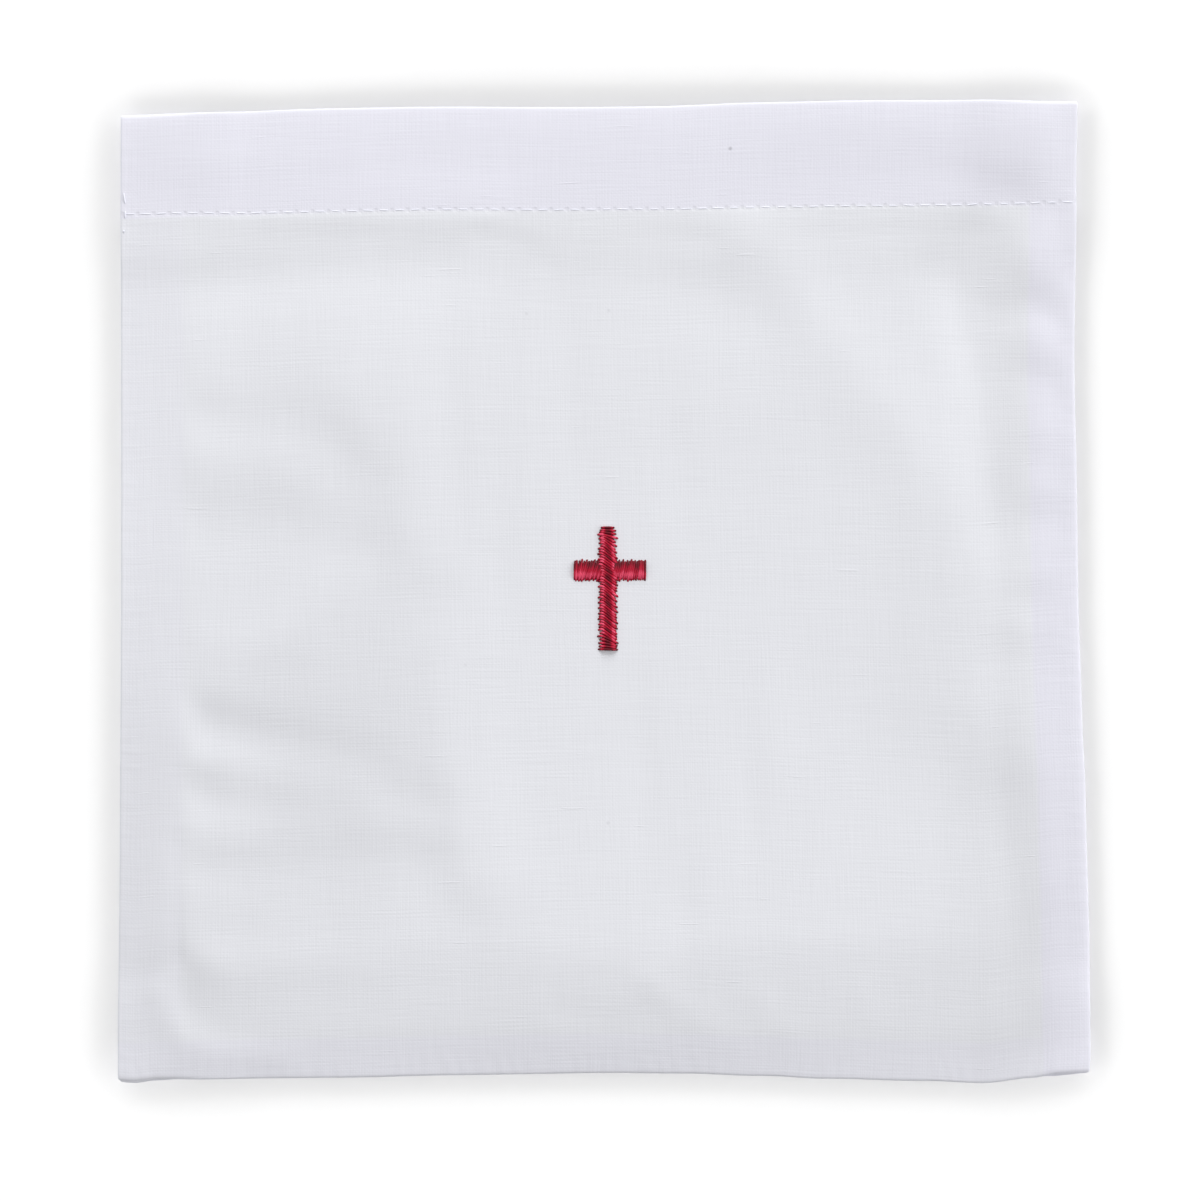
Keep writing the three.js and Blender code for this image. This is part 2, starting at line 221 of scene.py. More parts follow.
# Painted shade (below 0) and painted light on the cloth's colour, in per cent, in soft bands along paths
PAINTED_SHADING = (
    Crease(((-62, 22), (-60, -10), (-53, -36), (-50, -48)), (-1.5, -3.5, -6.5, -4.5), 17, 17),
    Crease(((-43, 14), (-39, -30)), (-1.5, -3.0), 8, 9),
    Crease(((-76, -8), (-74, -40)), (-1.5, -3.0), 8, 8),
    Crease(((46, -78), (80, -78)), (-1.0, -4.0), 8, 8),
    Crease(((-86, 70), (-86, 12)), (1.5, 2.5), 8, 8),
    Crease(((-86, -20), (-86, -85)), (-1.5, -4.5), 7, 9),
    Crease(((-78, -88), (-60, -88), (-40, -88)), (-5, 0), 5, 5),
    Crease(((-70, -80), (0, -80), (78, -82)), (-2.0, -4.5, -2.5), 7, 7),
    Crease(((71, -14), (73, -38), (79, -60), (79, -80)), (-2, -9.5, -11, -8.5), 7, 10),
    Crease(((70, 36), (74, 18), (75, 2)), (-1.5, -5, -3), 5.5, 7),
    Crease(((64, -40), (64, -70)), (-1.5, -2), 10, 8),
    Crease(((60, 2), (60, -22)), (-3, -3.5), 11, 11),
    Crease(((62, 62), (70, 44)), (-4, -2.5), 10, 8),
    Crease(((-70, 50), (-55, 53), (-28, 53)), (2, 2.6), 8, 8),
    Crease(((-76, 64), (-56, 64)), (2, 2.4), 3.5, 3.5),
    Crease(((-34, 65.5), (-14, 65)), (-2.5, -2), 2.5, 4),
    Crease(((83.5, 88), (83.5, 74)), (3, 3), 4, 4),
    Crease(((-60, 76), (-20, 73)), (1.5, 2), 6, 6),
    Crease(((-50, 81), (30, 82), (62, 82), (77, 74)), (-0.5, -0.8, -1, -4, -4.7), 7, 7),
    Crease(((-12, 61), (25, 59), (60, 60)), (-1.5, -3, -2), 5, 5),
    Crease(((-76, -59), (-66, -60)), (-5.5, -3.5), 5, 5),
    Crease(((-80, -68), (-76, -74), (-70, -78)), (-5, -8, -5), 5, 5),
    Crease(((-58, -37), (-48, -37)), (-3, -2.5), 5.5, 5.5),
    Crease(((-41, -47), (-33, -48)), (-3.5, -4), 5.5, 5.5),
    Crease(
        ((-66, -85), (-46, -85), (-10, -86), (10, -86), (80, -86)),
        (-2.4, -3, -5, -5, -4, -2.4, -1.6), 4, 5),
    Crease(((-65, -57), (-47, -57)), (-2.2, -2.2), 8, 8),
    Crease(((83, 20), (83, -4)), (-1.6, -1.6), 3.5, 3.5),
    Crease(((-88.6, 86), (-89, -60)), (2.5, 2.5, 1), 1.3, 1.3),
)


class Nub(NamedTuple):
    """A small dark knot in a yarn: its place on an even panel, its radius and by what share it darkens."""

    x: float
    y: float
    radius: float
    dark: float


NUBS = (
    Nub(24.8, 80.8, 0.55, 0.3), Nub(1.1, -43.7, 0.5, 0.1), Nub(2.2, 51.3, 0.5, 0.09),
    Nub(-13.2, 50.8, 0.5, 0.08), Nub(-25, -14.2, 0.5, 0.06),
)

# How far the hem's stitches lie from the mouth's fold, at plan distances from the middle
HEM_STITCH_LINE = {
    "x": (-88, -56, -19, 7, 28, 55, 73, 87),
    "in": (18.6, 19.3, 19.3, 19.3, 19.6, 19.6, 19.3, 18.8),
}


def property_names(group):
    """The names of a property group's own properties."""
    return [name for name in group.bl_rna.properties.keys() if name not in {"rna_type", "name"}]


def in_mm(group):
    """A property group's lengths in millimetres."""
    return SimpleNamespace(**{name: getattr(group, name) / MM for name in property_names(group)})


def smoothstep(value, low, high):
    """0 up to low, 1 from high on, eased in between."""
    share = np.clip((value - low) / (high - low), 0.0, 1.0)
    return share * share * (3.0 - 2.0 * share)


def eased(rows, at):
    """The value at fractions of a length, eased from row to row of a table of fractions and values."""
    places, values = np.array(rows, float).T
    after = np.clip(np.searchsorted(places, at), 1, len(rows) - 1)
    share = smoothstep(at, places[after - 1], places[after])
    return values[after - 1] + (values[after] - values[after - 1]) * share


def new_object(name, data):
    """An object of some data, linked into the scene."""
    made = bpy.data.objects.new(name, data)
    bpy.context.collection.objects.link(made)
    return made


def store_shares(mesh, name, shares):
    """Gives a mesh a named number at each of its points."""
    stored_at = mesh.attributes.new(name, "FLOAT", "POINT").data
    stored_at.foreach_set("value", np.asarray(shares, np.float32))


PLAN_WIDTH = CORNERS["bottom_right"][0] - CORNERS["bottom_left"][0]
PLAN_LENGTH = CORNERS["top_right"][1] - CORNERS["bottom_right"][1]


def plan_point(sides, s, t):
    """The plan point at fractions s across and t up a panel, between its four uneven sides."""
    straight = [
        (CORNERS["bottom_left"][axis] * (1 - s) + CORNERS["bottom_right"][axis] * s) * (1 - t)
        + (CORNERS["top_left"][axis] * (1 - s) + CORNERS["top_right"][axis] * s) * t
        for axis in (0, 1)
    ]
    x = straight[0] - eased(sides["left"], t) * (1 - s) + eased(sides["right"], t) * s
    y = straight[1] - eased(sides["bottom"], s) * (1 - t) + eased(sides["top"], s) * t
    return x, y


def insets(s, t):
    """How far a plan point is from each side."""
    return {
        "left": s * PLAN_WIDTH,
        "right": (1 - s) * PLAN_WIDTH,
        "bottom": t * PLAN_LENGTH,
        "top": (1 - t) * PLAN_LENGTH,
    }


def beside_path(path, x, y):
    """How far points lie from a path of straight stretches, on which side, and how far along it (0 to 1).

    The side is 1 straight to the left of the path, -1 straight to its right, and in between beyond its ends.
    """
    nearest = np.full(x.shape, np.inf)
    side = np.zeros(x.shape)
    along = np.zeros(x.shape)
    stretches = np.hypot(*np.diff(path, axis=0).T)
    before = np.concatenate([[0.0], np.cumsum(stretches)]) / stretches.sum()
    for start, end, done, length in zip(path, path[1:], before, stretches):
        run = (end - start) / length
        reached = np.clip((x - start[0]) * run[0] + (y - start[1]) * run[1], 0.0, length)
        off_x = x - start[0] - reached * run[0]
        off_y = y - start[1] - reached * run[1]
        distance = np.hypot(off_x, off_y)
        closer = distance < nearest
        nearest = np.where(closer, distance, nearest)
        side = np.where(closer, (run[0] * off_y - run[1] * off_x) / np.maximum(distance, TINY), side)
        along = np.where(closer, done + reached / stretches.sum(), along)
    return nearest, side, along


def rounded(path, rounds=3):
    """A path with its corners cut again and again, so that it bends softly."""
    points = np.array(path, float)
    for _ in range(rounds if len(path) > 2 else 0):
        ahead = points[:-1] * 0.75 + points[1:] * 0.25
        behind = points[:-1] * 0.25 + points[1:] * 0.75
        cut = np.stack([ahead, behind], axis=1).reshape(-1, 2)
        points = np.vstack([points[:1], cut[1:-1], points[-1:]])
    return points


def crease_heights(creases, x, y):
    """What all creases of a table together add at plan points."""
    total = np.zeros(x.shape)
    for crease in creases:
        distance, side, along = beside_path(rounded(crease.path), x, y)
        width = crease.right + (crease.left - crease.right) * (side + 1) / 2
        spaced = np.linspace(0, 1, len(crease.heights))
        total += eased(list(zip(spaced, crease.heights)), along) * np.exp(-((distance / width) ** 2))
    return total


def panel_layers(sizes, inset, spread):
    """How many layers one panel has: one, two over a turning, four where two cross. spread softens steps."""
    over = {}
    for side, distance in inset.items():
        turning = getattr(sizes, f"turning_{side}")
        over[side] = 1.0 - smoothstep(distance, turning, turning + spread)
    return (1 + np.maximum(over["left"], over["right"])) * (1 + np.maximum(over["top"], over["bottom"]))


def layer_pitch(sizes, inset):
    """From one layer to the next: less where the seam presses a corner's many layers together."""
    crossing = 1.0
    for pair in (("left", "right"), ("top", "bottom")):
        past = [inset[side] - getattr(sizes, f"turning_{side}") for side in pair]
        over = [1.0 - smoothstep(distance, 0.0, STEP_SPREAD) for distance in past]
        crossing = crossing * np.maximum(*over)
    return sizes.layer + (sizes.layer_pressed - sizes.layer) * crossing


def face_height(sizes, x, y, s, t):
    """The height of the middle of the face's cloth."""
    inset = insets(s, t)
    along = {"left": t, "right": t, "bottom": s, "top": s}
    pressed = (2 * panel_layers(sizes, inset, STEP_SPREAD) - 0.5) * layer_pitch(sizes, inset)
    loft = rim = shoulder = body = 1.0
    for side, distance in inset.items():
        risen = np.clip(distance / eased(RUNS[side], along[side]), 0.0, 1.0)
        loft = loft * risen * (4.0 - risen**3) / 3.0
        if side in RIM_WIDTH:
            rim = rim * (1.0 - np.exp(-distance / RIM_WIDTH[side]))
        if side in SHOULDER_WIDTH:
            shoulder = shoulder * (1.0 - np.exp(-distance / SHOULDER_WIDTH[side]))
        if side != "bottom":
            turning = getattr(sizes, f"turning_{side}")
            edge = TURNING_EDGE[side]
            body = body * smoothstep(distance, turning - edge / 2, turning + edge)
    near_mouth = 1.0 - smoothstep(inset["top"], 0.0, MOUTH_DEPTH)
    open_mouth = sizes.mouth_lift * np.sin(math.pi * s) ** 2 * near_mouth
    nearest_side = np.minimum.reduce(list(inset.values()))
    folds = crease_heights(BODY_CREASES, x, y) * body + crease_heights(BORDER_CREASES, x, y)
    folds = folds * smoothstep(nearest_side, 0.0, CREASES_FADE)
    height = pressed + (sizes.plateau - pressed) * loft + open_mouth + folds
    height = height + RIM_RISE * rim + SHOULDER_RISE * shoulder
    lowest = (2 * panel_layers(sizes, inset, SHARP_SPREAD) - 0.5) * sizes.layer_pressed
    return np.maximum(height, lowest)


# The face's slopes: how wide they are at fractions of each side's length
RUNS = {
    "top": ((0, 60), (1, 60)),
    "bottom": ((0, 26), (0.3, 27), (0.52, 24), (0.7, 27), (0.85, 30), (1, 38)),
    "left": ((0, 12), (0.35, 15), (0.6, 60), (1, 60)),
    "right": ((0, 34), (1, 34)),
}
# The layers' steps show through as slopes this wide. Folds fade this close to the sides. Each side rises
# fast at its rim and slower at its shoulder.
STEP_SPREAD = 14.0
SHARP_SPREAD = 1.0
TURNING_EDGE = {"left": 4.0, "right": 3.0, "top": 1.6}
CREASES_FADE = 4.0
MOUTH_DEPTH = 60.0
RIM_RISE = 0.1
RIM_WIDTH = {"top": 0.4, "right": 0.4, "bottom": 0.7}
SHOULDER_RISE = 0.4
SHOULDER_WIDTH = {"top": 4.5, "right": 3.0}


def folded(along, radius, inside, rounding):
    """How far in from a fold's outermost line cloth lies, and how deep below the outer layer.

    along runs over the cloth from that line: above 0 on the outer layer, below 0 on the part turned in.
    inside is how deep the cloth already lay before this fold. radius is the fold's upright radius, rounding
    its level one.
    """
    bend = np.clip(along / rounding, -QUARTER, QUARTER)
    share = 1.0 - inside / radius
    past = np.maximum(np.abs(along) - QUARTER * rounding, 0.0)
    return rounding * (1.0 - share * np.cos(bend)) + past, radius * (1.0 - share * np.sin(bend))


class Cut(NamedTuple):
    """A panel's cut cloth: its size between the fold lines, and how far it reaches past them."""

    width: float
    length: float
    left: float
    right: float
    bottom: float
    top: float


def panel_cut(sizes):
    """The cut of one panel."""
    taken_up = 2 * sizes.rounding * (QUARTER - 1)
    return Cut(
        PLAN_WIDTH + taken_up,
        PLAN_LENGTH + taken_up,
        sizes.turning_left,
        sizes.turning_right,
        sizes.turning_bottom,
        sizes.turning_top + sizes.hem_allowance,
    )


def cloth_to_plan(sizes, cut, u, v):
    """Where points of the cut cloth lie once it is folded: fractions across and up, depth below the face."""
    rough = {"left": abs(u), "right": abs(cut.width - u), "bottom": abs(v), "top": abs(cut.length - v)}
    turn = layer_pitch(sizes, rough) / 2
    from_left = u < cut.width / 2
    inset_x, side_depth = folded(np.where(from_left, u, cut.width - u), turn, 0.0, sizes.rounding)
    turning = np.where(from_left, sizes.turning_left, sizes.turning_right)
    over_side = 1.0 - smoothstep(inset_x, turning - TURNING_IN, turning + TURNING_OUT)
    from_bottom = v < cut.length / 2
    along = np.where(from_bottom, v, cut.length - v)
    rounding = sizes.rounding * (1.0 + over_side)
    inset_y, depth = folded(along, turn * (1.0 + 2.0 * over_side), side_depth, rounding)
    longer = (rounding - sizes.rounding) * (QUARTER - 1)
    inset_y = inset_y + longer * smoothstep(inset_y, 0.0, ROUNDING_SPREAD)
    s = np.where(from_left, inset_x, PLAN_WIDTH - inset_x) / PLAN_WIDTH
    t = np.where(from_bottom, inset_y, PLAN_LENGTH - inset_y) / PLAN_LENGTH
    return s, t, depth


# How far inside and outside a side turning's edge the fold that crosses it changes its depth, and over what
# distance the longer rounding of such a fold is evened out
TURNING_IN = 1.0
TURNING_OUT = 4.0
ROUNDING_SPREAD = 20.0


def front_points(sizes, cut, u, v):
    """Points of the front panel's cloth."""
    s, t, depth = cloth_to_plan(sizes, cut, u, v)
    x, y = plan_point(FRONT_SIDES, s, t)
    return np.stack([x, y, face_height(sizes, x, y, s, t) - depth], axis=-1)


def back_points(sizes, cut, u, v):
    """Points of the back panel's cloth, which lies face down with its turnings on top."""
    s, t, depth = cloth_to_plan(sizes, cut, u, v)
    x, y = plan_point(BACK_SIDES, s, t)
    return np.stack([x, y, sizes.cloth / 2 + depth], axis=-1)


FOLD_OFFSETS = (0, 0.1, 0.2, 0.3, 0.4, 0.5, 0.62, 0.75, 0.95, 1.3)


def cut_lines(start, end, pitch, folds, fine):
    """Grid lines over the cut cloth: even, but close together round each fold and where fine says."""
    at_folds = {fold + sign * offset for fold in folds for offset in FOLD_OFFSETS for sign in (-1, 1)}
    close = np.array([line for line in sorted(at_folds | set(fine)) if start < line < end])
    even = np.linspace(start, end, round((end - start) / pitch) + 1)
    apart = np.abs(even[:, None] - close[None, :]).min(axis=1) > pitch / 2
    apart[[0, -1]] = True
    return np.sort(np.concatenate([even[apart], close]))


def grid_mesh(name, points, uv):
    """A mesh over a grid of points, with a UV map in metres of cut cloth."""
    rows, columns = points.shape[:2]
    index = np.arange(rows * columns).reshape(rows, columns)
    corners = [index[:-1, :-1], index[:-1, 1:], index[1:, 1:], index[1:, :-1]]
    faces = np.stack(corners, axis=-1).reshape(-1, 4)
    mesh = bpy.data.meshes.new(name)
    mesh.from_pydata((points.reshape(-1, 3) * MM).tolist(), [], faces.tolist())
    layer = mesh.uv_layers.new(name=CLOTH_MAP)
    layer.uv.foreach_set("vector", (uv.reshape(-1, 2)[faces.ravel()] * MM).astype(np.float32).ravel())
    mesh.shade_smooth()
    return mesh


def store_painted_shading(mesh):
    """Gives a mesh the table of painted shade and light, as the share by which its colour changes."""
    places = np.empty(len(mesh.vertices) * 3)
    mesh.vertices.foreach_get("co", places)
    x, y, _ = places.reshape(-1, 3).T / MM
    store_shares(mesh, TONE, crease_heights(PAINTED_SHADING, x, y) / 100)


CLOTH_MAP = "Cloth"
# The name of the attribute that carries the painted shade and light
TONE = "tone"


def panel_object(name, sizes, cut, shape, pitch, fine_across=(), fine_up=()):
    """One panel's folded cloth as an object."""
    across = cut_lines(-cut.left, cut.width + cut.right, pitch, (0, cut.width), fine_across)
    up = cut_lines(-cut.bottom, cut.length + cut.top, pitch, (0, cut.length), fine_up)
    u, v = np.meshgrid(across, up)
    uv = np.stack([u + cut.left, v + cut.bottom], axis=-1)
    panel = new_object(name, grid_mesh(name, shape(sizes, cut, u, v), uv))
    solid = panel.modifiers.new("Cloth thickness", "SOLIDIFY")
    solid.thickness = sizes.cloth * MM
    solid.offset = 0.0
    return panel


def finish_piece(piece, slot, *nodes):
    """Ties a piece to the body and hides the nodes that it stands for. Its slot is not used."""
    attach(piece, BODY)
    if nodes:
        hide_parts(*nodes)


# How far above the cover the rays start that look for its surface, in metres
RAY_START = 1.0


def surface_under(piece, x, y):
    """The top surface of a piece straight below plan points, in millimetres."""
    tree = BVHTree.FromObject(piece, bpy.context.evaluated_depsgraph_get())
    above = CAD_BOX[1].z + RAY_START
    found = []
    for px, py in zip(x, y):
        hit = tree.ray_cast(Vector((px * MM, py * MM, above)), Vector((0, 0, -1)))[0]
        if hit is None:
            raise RuntimeError(f"no cloth under the point {px:.1f}, {py:.1f}")
        found.append((px, py, hit.z / MM))
    return np.array(found)


# Node trees


class Wire:
    """A number on a node's output. Sums and products of wires add their Math nodes."""

    def __init__(self, nodes, socket):
        self.nodes = nodes
        self.socket = socket

    def _math(self, operation, first, second=None):
        values = {0: first} if second is None else {0: first, 1: second}
        return self.nodes.add("ShaderNodeMath", {"operation": operation}, values)

    def __add__(self, other):
        return self._math("ADD", self, other)

    def __sub__(self, other):
        return self._math("SUBTRACT", self, other)

    def __rsub__(self, other):
        return self._math("SUBTRACT", other, self)

    def __mul__(self, other):
        return self._math("MULTIPLY", self, other)

    def __truediv__(self, other):
        return self._math("DIVIDE", self, other)

    def __mod__(self, other):
        return self._math("FLOORED_MODULO", self, other)

    def __pow__(self, other):
        return self._math("POWER", self, other)

    def __abs__(self):
        return self._math("ABSOLUTE", self)

    __radd__ = __add__
    __rmul__ = __mul__

    def sin(self):
        return self._math("SINE", self)

    def at_most(self, other):
        return self._math("MINIMUM", self, other)

    def at_least(self, other):
        return self._math("MAXIMUM", self, other)


class Nodes:
    """Adds nodes to one tree."""

    def __init__(self, tree):
        self.tree = tree
        tree.nodes.clear()

    def add(self, kind, settings=None, inputs=None, output=0):
        """Adds a node of a kind: its settings first, then its sockets' values or links. Gives one output."""
        node = self.tree.nodes.new(kind)
        for name, value in (settings or {}).items():
            setattr(node, name, value)
        for name, value in (inputs or {}).items():
            if isinstance(value, Wire):
                self.tree.links.new(value.socket, node.inputs[name])
            else:
                node.inputs[name].default_value = value
        return Wire(self, node.outputs[output]) if len(node.outputs) else node

    def other(self, wire, output):
        """Another output of the node that a wire comes from."""
        return Wire(self, wire.socket.node.outputs[output])

    def ramp(self, value, low, high):
        """0 where value is at low, 1 where it is at high, eased in between."""
        settings = {"interpolation_type": "SMOOTHSTEP"}
        return self.add("ShaderNodeMapRange", settings, {"Value": value, "From Min": low, "From Max": high})

    def noise(self, vector, scale, detail=2.0):
        """Noise at a vector, round 0.5."""
        inputs = {"Vector": vector, "Scale": scale, "Detail": detail}
        return self.add("ShaderNodeTexNoise", {"noise_dimensions": "3D"}, inputs)

    def stretched(self, vector, stretch):
        """A vector scaled along each axis."""
        return self.add("ShaderNodeVectorMath", {"operation": "MULTIPLY"}, {0: vector, 1: stretch})

    def mix(self, share, first, second):
        """Two colours mixed."""
        inputs = {"Factor": share, 6: first, 7: second}
        return self.add("ShaderNodeMix", {"data_type": "RGBA"}, inputs, output=2)


def new_material(name):
    """An empty material and the adder for its nodes."""
    material = bpy.data.materials.new(name)
    material.use_nodes = True
    return material, Nodes(material.node_tree)


def surface(nodes, inputs):
    """The material's shader and its output."""
    shader = nodes.add("ShaderNodeBsdfPrincipled", inputs=inputs)
    nodes.add("ShaderNodeOutputMaterial", inputs={"Surface": shader})


def rgb(colour):
    """A colour property as a socket's four numbers."""
    return (*colour, 1.0)


def cloth_noise(nodes, place, pattern, detail=1.0):
    """Noise over the cloth, scaled across and up it by a pattern's two factors."""
    return nodes.noise(nodes.stretched(place, (*pattern, 1.0)), 1.0, detail=detail)


def yarn_patterns(nodes, place, across, up):
    """The weave, the unevenness of single yarns, and some thicker yarns."""
    fine = cloth_noise(nodes, place, WARP) + cloth_noise(nodes, place, WEFT)
    broad = cloth_noise(nodes, place, BROAD_WARP) + cloth_noise(nodes, place, BROAD_WEFT)
    turn = math.pi / YARN_PITCH
    return {
        "weave": (across * turn).sin() * (up * turn).sin(),
        "streaks": fine * FINE_SHARE + broad * BROAD_SHARE - (FINE_SHARE + BROAD_SHARE),
        "slub": nodes.ramp(cloth_noise(nodes, place, SLUB), *SLUB_RAMP),
    }


def layers_below(nodes, sizes, cut, across, up):
    """Where the cloth has other layers close under it, from 0 to 1."""
    from_right = cut.width - sizes.turning_right
    from_top = cut.length - sizes.turning_top
    edge = LAYER_EDGE
    at_left = 1 - nodes.ramp(across, sizes.turning_left - edge, sizes.turning_left + edge)
    at_right = nodes.ramp(across, from_right - edge, from_right + edge)
    at_bottom = 1 - nodes.ramp(up, sizes.turning_bottom - edge, sizes.turning_bottom + edge)
    at_top = nodes.ramp(up, from_top - edge, from_top + HEM_EDGE)
    return at_right.at_least(at_top).at_least(at_bottom * BOTTOM_LAYERS).at_least(at_left * LEFT_LAYERS)


def needle_holes(nodes, cut, holes, across, up):
    """The needle holes between the hem's stitches, as a mask for their dip and their painted shade."""
    to_next = abs(((across - holes.start) / holes.pitch + 0.5) % 1.0 - 0.5) * holes.pitch
    line = nodes.add("ShaderNodeFloatCurve", inputs={"Value": across / cut.width})
    set_curve(line.socket.node, holes.line_u / cut.width, holes.line_in / HOLE_LINE_RANGE)
    off_line = abs(cut.length - up - line * HOLE_LINE_RANGE)
    in_row = nodes.ramp(off_line, *HOLE_OFF_LINE)
    return nodes.ramp(to_next, *HOLE_ALONG_LINE) * in_row


def seam_puckers(nodes, cut, place, across, up):
    """Small puckers beside the seams: across the bottom one and up the side ones."""
    wander = cloth_noise(nodes, place, PUCKER_WANDER, detail=0.0) * WANDER_TURN
    turn = 2 * math.pi / PUCKER_PITCH
    from_sides = across.at_most(cut.width - across)
    return {
        "pucker_across": (across * turn + wander).sin() * nodes.ramp(up, *BOTTOM_PUCKERS),
        "pucker_up": (up * turn + wander).sin() * nodes.ramp(from_sides, *SIDE_PUCKERS),
    }


def yarn_knots(nodes, cut, place):
    """The dark knots in single yarns."""
    knots = 0.0
    for nub in NUBS:
        centre = (nub.x + PLAN_WIDTH / 2 + cut.left, nub.y - CORNERS["bottom_left"][1] + cut.bottom, 0)
        inputs = {0: place, 1: centre}
        off = nodes.add("ShaderNodeVectorMath", {"operation": "DISTANCE"}, inputs, output="Value")
        knots = knots + nodes.ramp(off, nub.radius, KNOT_CORE) * nub.dark
    return knots


def weighed(patterns, shares):
    """The sum of the patterns in a table of shares."""
    return sum(patterns[name] * share for name, share in shares.items())


def cloth_material(sizes, colours, cut, holes):
    """White plain-weave cloth, denser in tone where more layers lie, with the hem's needle holes,
    painted shade in those holes and the painted shade and light stored on the front panel.
    """
    material, nodes = new_material("white_cloth")
    uv = nodes.add("ShaderNodeUVMap", {"uv_map": CLOTH_MAP})
    place = nodes.add("ShaderNodeVectorMath", {"operation": "SCALE"}, {0: uv, "Scale": 1 / MM})
    axes = nodes.add("ShaderNodeSeparateXYZ", inputs={0: place})
    across = axes - cut.left
    up = nodes.other(axes, "Y") - cut.bottom

    patterns = {
        **yarn_patterns(nodes, place, across, up),
        **seam_puckers(nodes, cut, place, across, up),
        "hole": needle_holes(nodes, cut, holes, across, up),
    }
    layered = layers_below(nodes, sizes, cut, across, up)
    # Painted shade and light, stored on the front panel
    shift = nodes.add("ShaderNodeAttribute", {"attribute_name": TONE}, output="Fac")
    tone = 1.0 + shift + weighed(patterns, TONE_SHARES) - yarn_knots(nodes, cut, place)
    plain = nodes.mix(layered, rgb(colours.cloth), rgb(colours.cloth_layered))
    colour = nodes.add("ShaderNodeVectorMath", {"operation": "SCALE"}, {0: plain, "Scale": tone})
    relief = weighed(patterns, RELIEF_MM)
    bump = nodes.add("ShaderNodeBump", inputs={"Strength": 1.0, "Distance": MM, "Height": relief})
    surface(nodes, {
        "Base Color": colour, "Roughness": 0.92, "Normal": bump, "Specular IOR Level": 0.25,
        "Sheen Weight": 0.08, "Sheen Roughness": 0.6,
    })
    return material


# The cloth's patterns. A noise has its factors across and up per millimetre, and a ramp has where it is 0
# and where it is 1.
YARN_PITCH = 0.38
WARP = (1 / YARN_PITCH, 0.04 / YARN_PITCH)
WEFT = (0.04 / YARN_PITCH, 1 / YARN_PITCH)
BROAD_WARP = (0.25, 0.012)
BROAD_WEFT = (0.012, 0.25)
FINE_SHARE = 0.62
BROAD_SHARE = 0.37
SLUB = (0.09, 1.5)
SLUB_RAMP = (0.74, 0.8)
LAYER_EDGE = 0.6
HEM_EDGE = 0.2
BOTTOM_LAYERS = 0.5
LEFT_LAYERS = 0.2
HOLE_LINE_RANGE = 30.0
HOLE_OFF_LINE = (0.55, 0.2)
HOLE_ALONG_LINE = (0.5, 0.12)
PUCKER_PITCH = 3.3
PUCKER_WANDER = (0.12, 0.12)
WANDER_TURN = 9.0
BOTTOM_PUCKERS = (7.0, 0.5)
SIDE_PUCKERS = (5.0, 0.5)
KNOT_CORE = 0.1
# What each pattern adds to the cloth's tone, as a share, and to its relief, in millimetres
# The hole's tone share is painted shade in the needle holes
TONE_SHARES = {"streaks": 0.058, "slub": 0.01, "hole": -0.03}
RELIEF_MM = {
    "weave": 0.003, "streaks": 0.05, "slub": 0.025, "hole": -0.04,
    "pucker_across": 0.014, "pucker_up": 0.008,
}


def set_curve(node, places, values):
    """Sets a Float Curve node's points."""
    curve = node.mapping.curves[0]
    while len(curve.points) < len(places):
        curve.points.new(0.5, 0.5)
    for point, place, value in zip(curve.points, places, values):
        point.location = (place, value)
    node.mapping.update()


def thread_material(name, colours, roughness, relief):
    """Thread of twisted fibres. Its shade, from 0 to 1, runs through the three colours: for the red thread
    a painted shade colour, its own red and a painted highlight colour.
    """
    material, nodes = new_material(name)
    place = nodes.add("ShaderNodeTexCoord", output="Object")
    fibres = nodes.noise(place, FIBRES_PER_MM / MM)
    shade = nodes.add("ShaderNodeAttribute", {"attribute_name": SHADE}, output="Fac")
    shade = shade + (fibres - 0.5) * FIBRE_SHADE
    darker = nodes.mix(nodes.ramp(shade, 0.0, 0.5), colours[0], colours[1])
    colour = nodes.mix(nodes.ramp(shade, 0.5, 1.0), darker, colours[2])
    bump = nodes.add("ShaderNodeBump", inputs={"Strength": 1.0, "Distance": relief * MM, "Height": fibres})
    surface(nodes, {
        "Base Color": colour, "Roughness": roughness, "Normal": bump, "Specular IOR Level": 0.25,
    })
    return material


SHADE = "shade"
FIBRES_PER_MM = 7.0
FIBRE_SHADE = 0.4


# Threads


def node_group(name, sizes):
    """A Geometry Nodes group with geometry in and out and named sizes, and the adder for its nodes."""
    group = bpy.data.node_groups.new(name, "GeometryNodeTree")
    group.interface.new_socket("Geometry", in_out="INPUT", socket_type="NodeSocketGeometry")
    for socket, (kind, default) in sizes.items():
        item = group.interface.new_socket(socket, in_out="INPUT", socket_type=f"NodeSocket{kind}")
        if default is not None:
            item.default_value = default
    group.interface.new_socket("Geometry", in_out="OUTPUT", socket_type="NodeSocketGeometry")
    nodes = Nodes(group)
    entry = nodes.add("NodeGroupInput")
    return group, nodes, {socket: nodes.other(entry, socket) for socket in ("Geometry", *sizes)}


def thread_line(nodes, count):
    """A line of a number of points, and how far along it each point is (0 to 1)."""
    line = nodes.add("GeometryNodeCurvePrimitiveLine", inputs={"Start": (0, 0, 0), "End": (1, 0, 0)})
    points = nodes.add("GeometryNodeResampleCurve", inputs={"Curve": line, "Count": count})
    return points, nodes.add("GeometryNodeSplineParameter")


def arch(share, rise, sink, squareness):
    """The height of a thread that rises in its middle and sinks at both ends."""
    return (1 - abs(share * 2 - 1) ** squareness) * (rise + sink) - sink


THREAD_SIDES = 7


def thread_along(nodes, path, thickness):
    """A tube of a thread's thickness along a path."""
    circle = nodes.add("GeometryNodeCurvePrimitiveCircle", inputs={
        "Resolution": THREAD_SIDES, "Radius": thickness / 2,
    })
    inputs = {"Curve": path, "Profile Curve": circle, "Fill Caps": True}
    return nodes.add("GeometryNodeCurveToMesh", inputs=inputs)


